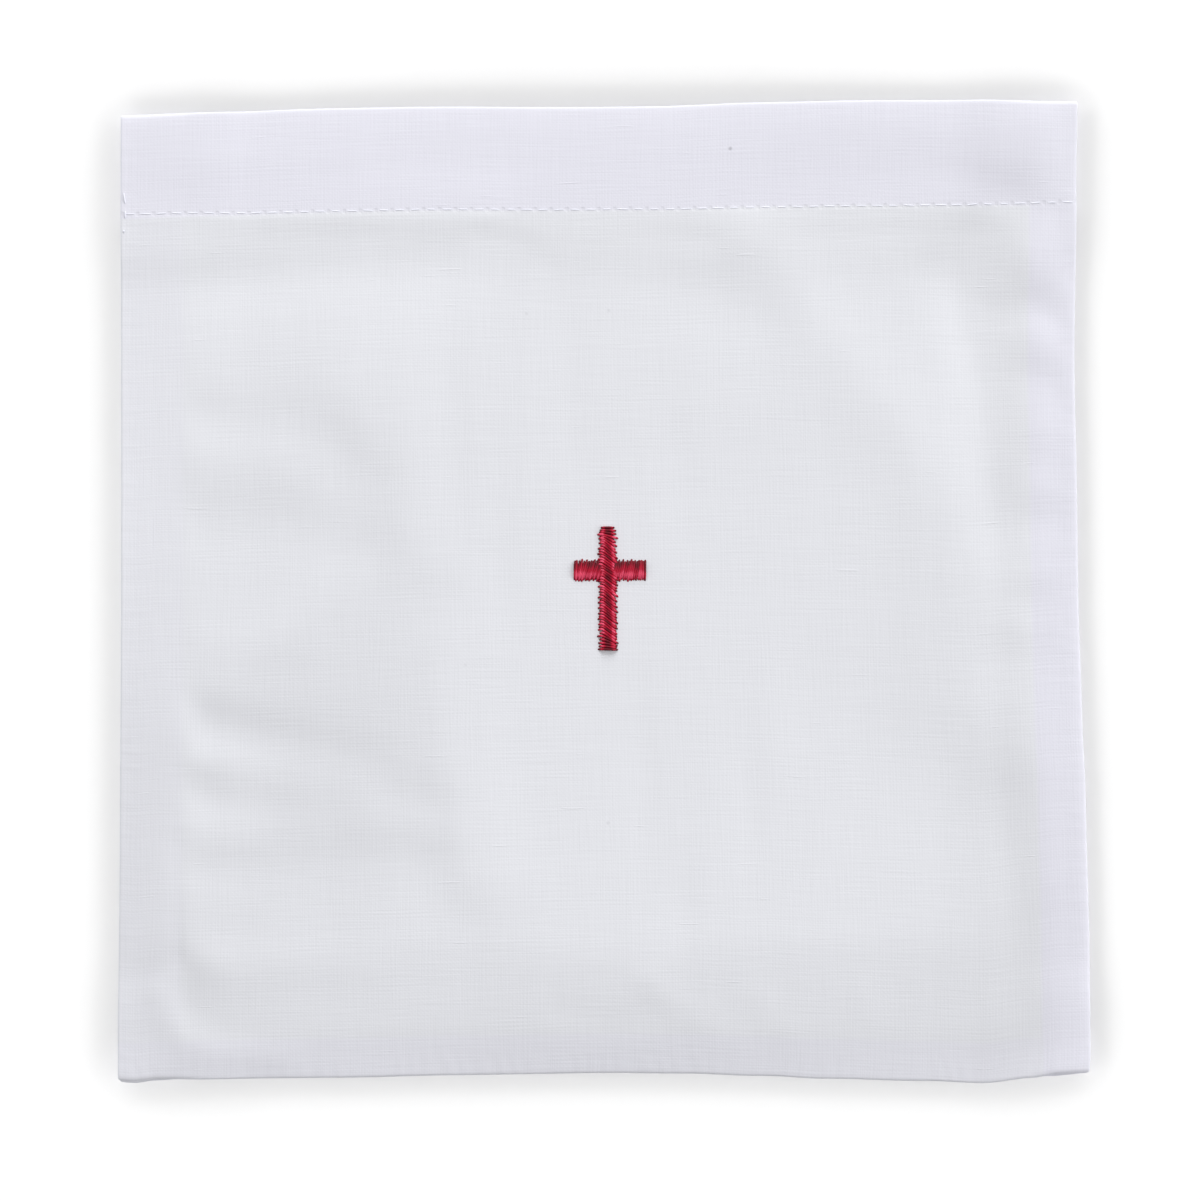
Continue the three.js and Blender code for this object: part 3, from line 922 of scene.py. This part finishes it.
def random_number(nodes, low, high, seed, number):
    """A random number for each element, its own for each number."""
    inputs = {2: low, 3: high, "Seed": seed + number}
    return nodes.add("FunctionNodeRandomValue", {"data_type": "FLOAT"}, inputs, output=1)


# How much more unevenly the copies are sized than they are turned
LENGTH_UNEVENNESS = 3.0


def instance_row(nodes, guide, count, template, seed, unevenness):
    """Copies of a template along a guide, unevenly turned, sized and shaded, as one mesh."""
    curve = nodes.add("GeometryNodeMeshToCurve", inputs={"Mesh": guide})
    points = nodes.add("GeometryNodeResampleCurve", inputs={"Curve": curve, "Count": count})
    tangent = nodes.add("GeometryNodeInputTangent")
    facing = nodes.add("FunctionNodeAlignRotationToVector", {"axis": "X"}, {"Vector": tangent})
    yaw = nodes.add("ShaderNodeCombineXYZ", inputs={
        2: random_number(nodes, -1.0, 1.0, seed, 1) * unevenness,
    })
    rotation = nodes.add("FunctionNodeRotateRotation", {"rotation_space": "LOCAL"}, {
        "Rotation": facing, "Rotate By": yaw,
    })
    length = 1.0 + random_number(nodes, -1.0, 1.0, seed, 2) * unevenness * LENGTH_UNEVENNESS
    size = nodes.add("ShaderNodeCombineXYZ", inputs={0: length, 1: 1.0, 2: 1.0})
    copies = nodes.add("GeometryNodeInstanceOnPoints", inputs={
        "Points": points, "Instance": template, "Rotation": rotation, "Scale": size,
    })
    shaded = nodes.add("GeometryNodeStoreNamedAttribute", {"data_type": "FLOAT", "domain": "INSTANCE"}, {
        "Geometry": copies, "Name": SHADE, "Value": random_number(nodes, 0.0, 1.0, seed, 3),
    })
    return nodes.add("GeometryNodeRealizeInstances", inputs={"Geometry": shaded})


def end_group(nodes, geometry, material):
    """Smooth shading, the material and the group's output."""
    smooth = nodes.add("GeometryNodeSetShadeSmooth", inputs={"Geometry": geometry})
    done = nodes.add("GeometryNodeSetMaterial", inputs={"Geometry": smooth, "Material": material})
    nodes.add("NodeGroupOutput", inputs={"Geometry": done})


# How many points a stitch's and a satin thread's path has, and how square their arches are
STITCH_POINTS = 9
STITCH_ARCH = 4
SATIN_POINTS = 13
SATIN_ARCH = 3


def stitch_row_group():
    """Running stitches along a guide: each rises from the cloth, lies along it and goes down again."""
    group, nodes, given = node_group("Stitch row", {
        "Count": ("Int", 10), "Stitch length": ("Float", 2.3 * MM), "Thread thickness": ("Float", 0.3 * MM),
        "Rise": ("Float", 0.15 * MM), "Sink": ("Float", 0.2 * MM), "Unevenness": ("Float", 0.05),
        "Seed": ("Int", 0), "Material": ("Material", None),
    })
    points, share = thread_line(nodes, STITCH_POINTS)
    height = arch(share, given["Rise"], given["Sink"], STITCH_ARCH)
    place = nodes.add("ShaderNodeCombineXYZ", inputs={0: (share - 0.5) * given["Stitch length"], 2: height})
    path = nodes.add("GeometryNodeSetPosition", inputs={"Geometry": points, "Position": place})
    template = thread_along(nodes, path, given["Thread thickness"])
    row = instance_row(
        nodes, given["Geometry"], given["Count"], template, given["Seed"], given["Unevenness"])
    end_group(nodes, row, given["Material"])
    return group


def stored(nodes, geometry, values):
    """Geometry with named point attributes: numbers, or vectors where a name ends in "vector"."""
    for name, value in values.items():
        kind = "FLOAT_VECTOR" if name.endswith("vector") else "FLOAT"
        geometry = nodes.add("GeometryNodeStoreNamedAttribute", {"data_type": kind, "domain": "POINT"}, {
            "Geometry": geometry, "Name": name, "Value": value,
        })
    return geometry


def attribute(nodes, name):
    """A named attribute."""
    kind = "FLOAT_VECTOR" if name.endswith("vector") else "FLOAT"
    return nodes.add("GeometryNodeInputNamedAttribute", {"data_type": kind}, {"Name": name})


def satin_bar_group(name, sheen):
    """Satin stitch along a guide: slanted threads side by side, arched over the bar and sunk at both ends.

    The guide's points carry how far the threads reach and slant there and how much painted shade darkens
    them, as shares. sheen is a table of the painted sheen and shade along each thread, from the bar's left
    to its right.
    """
    group, nodes, given = node_group(name, {
        "Count": ("Int", 10), "Bar width": ("Float", 3.4 * MM), "Thread thickness": ("Float", 0.4 * MM),
        "Crown": ("Float", 0.5 * MM), "Sink": ("Float", 0.2 * MM), "Slant": ("Float", 1.0 * MM),
        "Left leg": ("Float", 0.5 * MM), "Ragged": ("Float", 0.1), "Unevenness": ("Float", 0.05 * MM),
        "Seed": ("Int", 0), "Material": ("Material", None),
    })
    curve = nodes.add("GeometryNodeMeshToCurve", inputs={"Mesh": given["Geometry"]})
    points = nodes.add("GeometryNodeResampleCurve", inputs={"Curve": curve, "Count": given["Count"]})
    uneven = [random_number(nodes, -1.0, 1.0, given["Seed"], number) for number in range(4)]
    every_other = nodes.add("GeometryNodeInputIndex") % 2.0
    points = stored(nodes, points, {
        "along vector": nodes.add("GeometryNodeInputTangent"),
        "length": attribute(nodes, REACH) * (1.0 + (every_other + uneven[0] / 2) * given["Ragged"]),
        "shift": uneven[1] * given["Unevenness"],
        "aside": uneven[2] * given["Unevenness"],
        # The thread's shade: the guide's painted shade share plus random unevenness
        SHADE: attribute(nodes, PAINTED_SHADE_SHARE) + uneven[3] * SHADE_UNEVENNESS,
    })

    # A thread's path starts as a line that is drawn together to one point, and is then spread over the bar
    line, share = thread_line(nodes, SATIN_POINTS)
    line = stored(nodes, line, {"share": share})
    point = nodes.add("ShaderNodeCombineXYZ")
    line = nodes.add("GeometryNodeSetPosition", inputs={"Geometry": line, "Position": point})
    copies = nodes.add("GeometryNodeInstanceOnPoints", inputs={"Points": points, "Instance": line})
    threads = nodes.add("GeometryNodeRealizeInstances", inputs={"Geometry": copies})

    share = attribute(nodes, "share")
    leg = given["Left leg"] * (1.0 - share / LEG_SHARE).at_least(0.0)
    slanted = given["Slant"] * (share - 0.5) + leg
    forward = slanted * attribute(nodes, SLANTING) + attribute(nodes, "shift")
    across = (share - 0.5) * given["Bar width"] * attribute(nodes, "length") + attribute(nodes, "aside")
    rise = arch(share, given["Crown"], given["Sink"], SATIN_ARCH)
    along_x = nodes.add("ShaderNodeSeparateXYZ", inputs={0: attribute(nodes, "along vector")})
    along_y = nodes.other(along_x, "Y")
    offset = nodes.add("ShaderNodeCombineXYZ", inputs={
        0: along_x * forward - along_y * across, 1: along_y * forward + along_x * across, 2: rise,
    })
    threads = nodes.add("GeometryNodeSetPosition", inputs={"Geometry": threads, "Offset": offset})
    # Painted sheen and shade along each thread, from the table of painted sheen
    lit = nodes.add("ShaderNodeFloatCurve", inputs={"Value": share})
    set_curve(lit.socket.node, *zip(*sheen))
    threads = stored(nodes, threads, {SHADE: attribute(nodes, SHADE) + lit})
    end_group(nodes, thread_along(nodes, threads, given["Thread thickness"]), given["Material"])
    return group


REACH = "reach"
SLANTING = "slanting"
PAINTED_SHADE_SHARE = "lightness"
SHADE_UNEVENNESS = 0.22
LEG_SHARE = 0.2


def guide_object(name, points, shares=None):
    """A line of points for threads to follow, with named shares at its points."""
    mesh = bpy.data.meshes.new(name)
    edges = [(i, i + 1) for i in range(len(points) - 1)]
    mesh.from_pydata((np.asarray(points) * MM).tolist(), edges, [])
    for share, values in (shares or {}).items():
        store_shares(mesh, share, values)
    return new_object(name, mesh)


def run_group(guide, group, values):
    """What a node group makes of a guide, as a plain mesh. The guide is removed."""
    modifier = guide.modifiers.new(group.name, "NODES")
    modifier.node_group = group
    for item in group.interface.items_tree:
        if item.in_out == "INPUT" and item.name in values:
            modifier[item.identifier] = values[item.name]
    depsgraph = bpy.context.evaluated_depsgraph_get()
    mesh = bpy.data.meshes.new_from_object(guide.evaluated_get(depsgraph), depsgraph=depsgraph)
    guide.modifiers.remove(modifier)
    bpy.data.objects.remove(guide)
    return mesh


def joined_piece(name, meshes):
    """One object of several meshes."""
    parts = [new_object(name, mesh) for mesh in meshes]
    if len(parts) > 1:
        with bpy.context.temp_override(active_object=parts[0], selected_editable_objects=parts):
            bpy.ops.object.join()
    parts[0].name = name
    parts[0].data.name = name
    return parts[0]


# How far the first stitch's middle is from the fold
STITCH_START = 1.8


def hem_stitches(sizes, cut):
    """Where the hem's stitches lie on the cut cloth."""
    count = round((cut.width - 2 * STITCH_START) / sizes.stitch_pitch) + 1
    along = np.linspace(STITCH_START, cut.width - STITCH_START, count)
    line_u = np.array(HEM_STITCH_LINE["x"]) + PLAN_WIDTH / 2
    inward = np.array(HEM_STITCH_LINE["in"])
    return SimpleNamespace(
        start=STITCH_START + (along[1] - along[0]) / 2,
        pitch=along[1] - along[0],
        along=along,
        inward=np.interp(along, line_u, inward),
        line_u=line_u,
        line_in=inward,
    )


# Sizes and colours


def length_setting(name, description, default):
    """A length property, with its default in millimetres."""
    return FloatProperty(name=name, description=description, default=default * MM, unit="LENGTH")


def colour_setting(name, description, default):
    """A colour property."""
    return FloatVectorProperty(name=name, description=description, default=default, subtype="COLOR")


class PallSizes(bpy.types.PropertyGroup):
    """Lengths of the cover's cloth."""

    cloth: length_setting("Cloth", "Thickness of the cloth", 0.22)
    layer: length_setting("Layer", "From one layer to the next at the sides", 0.38)
    layer_pressed: length_setting("Pressed layer", "The same where the corners press", 0.24)
    rounding: length_setting("Rounding", "Width over which a fold rounds off", 0.34)
    plateau: length_setting("Plateau", "Height of the middle of the face", 3.0)
    mouth_lift: length_setting("Mouth lift", "How far the mouth stands open", 0.7)
    turning_top: length_setting("Hem", "Depth of the hem", 19.3)
    turning_left: length_setting("Left turning", "Cloth turned in at the left", 11.8)
    turning_right: length_setting("Right turning", "Cloth turned in at the right", 9.0)
    turning_bottom: length_setting("Bottom turning", "Cloth turned in at the bottom", 7.5)
    hem_allowance: length_setting("Hem allowance", "From the hem's stitches to its raw edge", 1.5)
    stitch_pitch: length_setting("Stitch pitch", "From one hem stitch to the next", 3.0)


class PallCross(bpy.types.PropertyGroup):
    """Lengths of the embroidered cross."""

    upright_x: length_setting("Upright", "Middle of the upright", 0.7)
    upright_width: length_setting("Upright width", "Width of the upright", 3.25)
    top: length_setting("Top", "Upper end of the upright", 12.0)
    foot: length_setting("Foot", "Lower end of the upright", -10.8)
    arm_y: length_setting("Arm", "Middle of the arm", 3.9)
    arm_width: length_setting("Arm width", "Width of the arm", 3.6)
    arm_left: length_setting("Arm left", "Left end of the arm", -5.6)
    arm_right: length_setting("Arm right", "Right end of the arm", 7.8)
    crown: length_setting("Crown", "Height of the threads over the cloth", 0.36)
    thread: length_setting("Thread", "Thickness of a thread", 0.4)


class PallColours(bpy.types.PropertyGroup):
    """Colours of the cover and the floor."""

    cloth: colour_setting("Cloth", "One layer of cloth", (0.793, 0.801, 0.842))
    cloth_layered: colour_setting("Layered cloth", "Cloth over other layers", (0.788, 0.784, 0.863))
    # The red thread's colours: a painted shade colour, its own red and a painted highlight colour
    thread_painted_shade: colour_setting("Dark thread", "The cross in its folds", (0.13, 0.001, 0.009))
    thread_red: colour_setting("Red thread", "The cross threads", (0.47, 0.003, 0.03))
    thread_painted_highlight: colour_setting("Light thread", "The cross where it shines", (0.88, 0.09, 0.18))
    stitch: colour_setting("Stitches", "White sewing thread", (0.84, 0.85, 0.93))
    floor: colour_setting("Floor", "The pale floor", (0.93, 0.93, 0.93))


class PALL_OT_panels(bpy.types.Operator):
    """Make the back and front panels, folded from their cut cloth"""

    bl_idname = "pall.panels"
    bl_label = "Panels"

    def execute(self, context):
        sizes = in_mm(context.scene.pall_sizes)
        cut = panel_cut(sizes)
        holes = hem_stitches(sizes, cut)
        hem_line = cut.length - float(np.mean(holes.inward))
        edges = (sizes.turning_left, cut.width - sizes.turning_right)
        fine_up = [hem_line + offset for offset in FINE_AT_HEM]
        fine_across = [edge + offset for edge in edges for offset in FINE_AT_TURNING]
        front = panel_object("front_cloth", sizes, cut, front_points, FRONT_PITCH, fine_across, fine_up)
        store_painted_shading(front.data)
        back = panel_object("back_cloth", sizes, cut, back_points, BACK_PITCH)
        material = cloth_material(sizes, context.scene.pall_colours, cut, holes)
        for panel, node in ((front, "front_panel"), (back, "back_panel")):
            panel.data.materials.append(material)
            finish_piece(panel, "white_cloth", node)
        return {"FINISHED"}


# From one grid line of a panel's mesh to the next, and the extra lines beside the hem's stitches and beside a
# turning's edge
FRONT_PITCH = 1.25
BACK_PITCH = 2.5
FINE_AT_HEM = (-1.2, -0.8, -0.4, 0, 0.4, 0.8)
FINE_AT_TURNING = (-0.8, -0.3, 0.2, 0.7)


def declare_sheets(sizes):
    """Works out the flat size of a panel's cut cloth, in metres."""
    cut = panel_cut(sizes)
    flat = ((cut.left + cut.width + cut.right) * MM, (cut.bottom + cut.length + cut.top) * MM)


class PALL_OT_hem_stitches(bpy.types.Operator):
    """Make the machine stitches that hold both panels' hems, and the loose ends of the front one's thread"""

    bl_idname = "pall.hem_stitches"
    bl_label = "Hem stitches"

    def execute(self, context):
        sizes = in_mm(context.scene.pall_sizes)
        cut = panel_cut(sizes)
        holes = hem_stitches(sizes, cut)
        white = rgb(context.scene.pall_colours.stitch)
        material = thread_material("white_thread", (white, white, white), roughness=0.7, relief=0.02)
        group = stitch_row_group()
        face = bpy.data.objects["front_cloth"]
        front = front_points(sizes, cut, holes.along, cut.length - holes.inward)
        back = back_points(sizes, cut, holes.along, cut.length - holes.inward)
        back[:, 2] = SEWING_THREAD / 2
        guides = {
            "front_hem_stitches": surface_under(face, front[:, 0], front[:, 1]),
            "back_hem_stitches": back,
            "loose_threads": surface_under(face, *np.array(LOOSE_THREADS).T),
        }
        for name, guide in guides.items():
            row = STITCH_ROWS[name]
            mesh = run_group(guide_object("stitch_guide", guide), group, {
                "Count": len(guide), "Stitch length": holes.pitch * row.share * MM,
                "Thread thickness": SEWING_THREAD * MM, "Rise": row.rise * MM, "Sink": row.sink * MM,
                "Unevenness": row.unevenness, "Seed": row.seed, "Material": material,
            })
            finish_piece(joined_piece(name, [mesh]), "white_cloth")
        return {"FINISHED"}


class StitchRow(NamedTuple):
    """How a row of stitches lies.

    share is how much of the stitch pitch each one covers. The thread rises over the guide in its middle and
    sinks below it at its ends, in millimetres.
    """

    share: float
    rise: float
    sink: float
    unevenness: float
    seed: int


# The back row lies under its cloth, so the ends of its stitches go up into it
STITCH_ROWS = {
    "front_hem_stitches": StitchRow(0.75, -0.05, 0.2, 0.07, 3),
    "back_hem_stitches": StitchRow(0.75, 0, -0.2, 0.04, 4),
    "loose_threads": StitchRow(0.45, 0.1, 0.05, 0.25, 5),
}
SEWING_THREAD = 0.27
LOOSE_THREADS = ((-88.4, 72.5), (-88.2, 69.8), (-88.5, 66.4))


class PALL_OT_cross(bpy.types.Operator):
    """Make the satin-stitch cross on the front panel"""

    bl_idname = "pall.cross"
    bl_label = "Cross"

    def execute(self, context):
        sizes = in_mm(context.scene.pall_cross)
        colours = context.scene.pall_colours
        reds = (rgb(colours.thread_painted_shade), rgb(colours.thread_red), rgb(colours.thread_painted_highlight))
        material = thread_material("red_thread", reds, roughness=0.5, relief=0.03)
        groups = {name: satin_bar_group(name, sheen) for name, sheen in SATIN_PAINTED_SHEEN.items()}
        face = bpy.data.objects["front_cloth"]
        meshes = []
        at = np.linspace(0, 1, GUIDE_POINTS)
        for bar in satin_bars(sizes):
            x = bar.start[0] + (bar.end[0] - bar.start[0]) * at
            y = bar.start[1] + (bar.end[1] - bar.start[1]) * at
            shares = {REACH: bar.reach, SLANTING: bar.slanting, PAINTED_SHADE_SHARE: bar.light}
            shares = {name: eased(rows, at) for name, rows in shares.items()}
            guide = guide_object("bar_guide", surface_under(face, x, y), shares)
            meshes.append(run_group(guide, groups[bar.sheen], {
                "Count": round(math.dist(bar.start, bar.end) / bar.pitch) + 1, "Bar width": bar.width * MM,
                "Thread thickness": bar.thread * MM, "Crown": bar.crown * MM, "Sink": SATIN_SINK * MM,
                "Slant": bar.slant * MM, "Left leg": bar.leg * MM, "Ragged": bar.ragged,
                "Unevenness": SATIN_UNEVENNESS * MM, "Seed": bar.seed, "Material": material,
            }))
        cross = joined_piece("cross_stitching", meshes)
        finish_piece(cross, "red_thread", "cross")
        return {"FINISHED"}


# How far a satin thread goes into the cloth and strays, in millimetres, and its painted sheen and shade from
# end to end
GUIDE_POINTS = 49
SATIN_SINK = 0.25
SATIN_UNEVENNESS = 0.05
SATIN_PAINTED_SHEEN = {
    "upright": (
        (0, 0), (0.09, 0.2), (0.22, 0.9), (0.34, 0.4), (0.5, 0.15), (0.66, 0.3), (0.81, 0.78), (0.92, 0.2),
        (1, 0),
    ),
    "arm": ((0, 0), (0.08, 0.4), (0.26, 0.85), (0.46, 0.55), (0.66, 0.25), (0.84, 0.02), (1, 0)),
}
# Shares along a bar that stay the same from its start to its end
EVEN = ((0, 1), (1, 1))
# Painted shade on the padding, which lies under the top threads
PADDING_PAINTED_SHADE = ((0, -0.5), (1, -0.5))


class SatinBar(NamedTuple):
    """One bar of the cross, in millimetres: where it runs, how its threads lie, their shares along it."""

    start: tuple
    end: tuple
    sheen: str
    seed: int
    width: float
    thread: float
    pitch: float
    crown: float
    slant: float = 0
    leg: float = 0
    ragged: float = 0
    reach: tuple = EVEN
    slanting: tuple = EVEN
    # light is painted shade on the threads, as shares below 0
    light: tuple = PADDING_PAINTED_SHADE


def satin_bars(sizes):
    """The bars of the cross in the order in which they are stitched: arms, padding, upright."""
    thread = sizes.thread
    left = (sizes.arm_left + thread / 2, sizes.arm_y)
    middle = (sizes.upright_x, sizes.arm_y)
    right = (sizes.arm_right - thread / 2, sizes.arm_y)
    top = (sizes.upright_x, sizes.top - thread / 2)
    foot = (sizes.upright_x, sizes.foot + thread / 2)
    crossing = (sizes.top - sizes.arm_y) / (sizes.top - sizes.foot)
    near = sizes.arm_width * 0.6 / (sizes.top - sizes.foot)
    bulge = (
        (0, 0.72), (0.05, 0.95), (crossing - 1.6 * near, 0.95), (crossing, 1.14),
        (crossing + 1.8 * near, 0.93), (0.95, 1.0), (0.985, 1.06), (1, 0.96),
    )
    padding = {"thread": thread, "pitch": thread * 0.8}
    arm = {"width": sizes.arm_width, "thread": thread, "pitch": 0.36, "crown": sizes.crown, "ragged": 0.14}
    # The padding lies under painted shade, and each top bar's end threads are darkened with painted shade
    # where they sink into the cloth
    return (
        SatinBar(left, right, "arm", 21, width=sizes.arm_width * 0.75, crown=sizes.crown * 0.5, **padding),
        SatinBar(
            left, middle, "arm", 11, **arm, slant=1.2,
            slanting=((0, 0.1), (0.35, 1), (1, 1)), light=((0, -0.35), (0.06, 0), (1, 0)),
        ),
        SatinBar(
            middle, right, "arm", 12, **arm, slant=0.8,
            slanting=((0, 1), (0.7, 1), (1, 0.1)), light=((0, 0), (0.94, 0), (1, -0.35)),
        ),
        SatinBar(
            top, foot, "upright", 22, width=sizes.upright_width * 0.7, crown=sizes.crown * 0.8, reach=bulge,
            **padding,
        ),
        SatinBar(
            top, foot, "upright", 13, width=sizes.upright_width, thread=thread * 1.1, pitch=0.5,
            crown=sizes.crown * 1.35, slant=2.6, leg=0.8, ragged=0.17, reach=bulge,
            slanting=((0, 0), (0.16, 1), (0.86, 1), (1, 0.05)),
            light=((0, -0.4), (0.03, 0), (0.97, 0), (1, -0.3)),
        ),
    )


class PALL_OT_stage(bpy.types.Operator):
    """Make the floor, the soft lights and the camera"""

    bl_idname = "pall.stage"
    bl_label = "Stage"

    def execute(self, context):
        colours = context.scene.pall_colours
        made = list(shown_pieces())
        mesh = bpy.data.meshes.new("floor")
        corners = [(x * FLOOR_REACH, y * FLOOR_REACH, FLOOR_LEVEL) for x, y in FLOOR_CORNERS]
        mesh.from_pydata(corners, [], [(0, 1, 2, 3)])
        floor = new_object("floor", mesh)
        material, nodes = new_material("pale_floor")
        surface(nodes, {"Base Color": rgb(colours.floor), "Roughness": 0.9, "Specular IOR Level": 0.1})
        mesh.materials.append(material)
        floor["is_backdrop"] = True

        for name, receivers, lamps in (
            ("cover_lights", made, COVER_LIGHTS),
            ("floor_lights", [floor], FLOOR_LIGHTS),
        ):
            lit = bpy.data.collections.new(name)
            for piece in receivers:
                lit.objects.link(piece)
            for lamp in lamps:
                add_light(lamp, lit)
        set_world(context.scene)
        set_camera(context.scene)
        return {"FINISHED"}


class Lamp(NamedTuple):
    """A far, soft light: where it comes from and how wide it looks, in degrees, and how strong it is."""

    name: str
    azimuth: float
    elevation: float
    spread: float
    strength: float


COVER_LIGHTS = (
    Lamp("top_light", 90, 28, 40, 2.6),
    Lamp("right_light", 0, 28, 40, 1.85),
    Lamp("left_light", 180, 28, 40, 0.75),
)
RING_LIGHTS = 24
RING_STRENGTH = 0.44
RING_SWING = 0.08
RING_BRIGHTEST = 225


def ring_light(number):
    """One light of the low ring round the floor, which is brightest at one azimuth."""
    azimuth = number * 360 / RING_LIGHTS
    strength = RING_STRENGTH + RING_SWING * math.cos(math.radians(azimuth - RING_BRIGHTEST))
    return Lamp(f"ring_light_{number + 1}", azimuth, elevation=14, spread=28, strength=strength)


FLOOR_LIGHTS = (Lamp("overhead_light", 0, 90, 60, 0.45), *map(ring_light, range(RING_LIGHTS)))
# The floor in metres. It is a little below the cover, so that the two don't lie in one plane.
FLOOR_CORNERS = ((-1, -1), (1, -1), (1, 1), (-1, 1))
FLOOR_REACH = 4.0
FLOOR_LEVEL = -0.00002
WORLD_LIGHT = 0.19
WORLD_SEEN = 0.95


def add_light(lamp, lit):
    """Adds a soft light that shines on one collection."""
    data = bpy.data.lights.new(lamp.name, "SUN")
    data.angle = math.radians(lamp.spread)
    data.energy = lamp.strength
    light = new_object(lamp.name, data)
    azimuth, elevation = math.radians(lamp.azimuth), math.radians(lamp.elevation)
    level = math.cos(elevation)
    away = Vector((math.cos(azimuth) * level, math.sin(azimuth) * level, math.sin(elevation)))
    light.location = away
    light.rotation_mode = "QUATERNION"
    light.rotation_quaternion = away.to_track_quat("Z", "Y")
    light.visible_camera = False
    light.light_linking.receiver_collection = lit


def set_world(scene):
    """A dim surround that lights the scene, seen as pale by the camera."""
    world = bpy.data.worlds.new("surround")
    world.use_nodes = True
    nodes = Nodes(world.node_tree)
    seen = nodes.add("ShaderNodeLightPath", output="Is Camera Ray")
    level = WORLD_LIGHT + seen * (WORLD_SEEN - WORLD_LIGHT)
    background = nodes.add("ShaderNodeBackground", inputs={"Color": (1, 1, 1, 1), "Strength": level})
    nodes.add("ShaderNodeOutputWorld", inputs={"Surface": background})
    scene.world = world


PHOTO_WIDTH_MM = 222.0
PHOTO_CENTRE_MM = (-0.74, -1.54)
LENS_MM = 100.0
SENSOR_MM = 36.0


def set_camera(scene):
    """A camera straight above, which takes in what the photograph does."""
    data = bpy.data.cameras.new("camera")
    data.lens = LENS_MM
    data.sensor_width = SENSOR_MM
    camera = new_object("camera", data)
    x, y = PHOTO_CENTRE_MM
    camera.location = (x * MM, y * MM, PHOTO_WIDTH_MM * MM * LENS_MM / SENSOR_MM)
    scene.camera = camera
    scene.view_settings.view_transform = "Standard"


class PALL_PT_cover(bpy.types.Panel):
    """Lists the cover's sizes, colours and pieces"""

    bl_label = "Chalice pall cover"
    bl_idname = "PALL_PT_cover"
    bl_space_type = "VIEW_3D"
    bl_region_type = "UI"
    bl_category = "Pall"

    def draw(self, context):
        for group in (context.scene.pall_sizes, context.scene.pall_cross, context.scene.pall_colours):
            box = self.layout.box()
            for name in property_names(group):
                box.prop(group, name)
        for operator in OPERATORS:
            self.layout.operator(operator.bl_idname)


OPERATORS = (PALL_OT_panels, PALL_OT_hem_stitches, PALL_OT_cross, PALL_OT_stage)
GROUPS = {"pall_sizes": PallSizes, "pall_cross": PallCross, "pall_colours": PallColours}


def register():
    for kind in (*GROUPS.values(), *OPERATORS, PALL_PT_cover):
        bpy.utils.register_class(kind)
    for name, group in GROUPS.items():
        setattr(bpy.types.Scene, name, PointerProperty(type=group))


def unregister():
    for name in GROUPS:
        delattr(bpy.types.Scene, name)
    for kind in reversed((*GROUPS.values(), *OPERATORS, PALL_PT_cover)):
        bpy.utils.unregister_class(kind)


def main():
    """Makes the cover and its stage."""
    register()
    bpy.ops.pall.panels()
    bpy.ops.pall.hem_stitches()
    bpy.ops.pall.cross()
    declare_sheets(in_mm(bpy.context.scene.pall_sizes))
    bpy.ops.pall.stage()


if __name__ == "__main__":
    main()
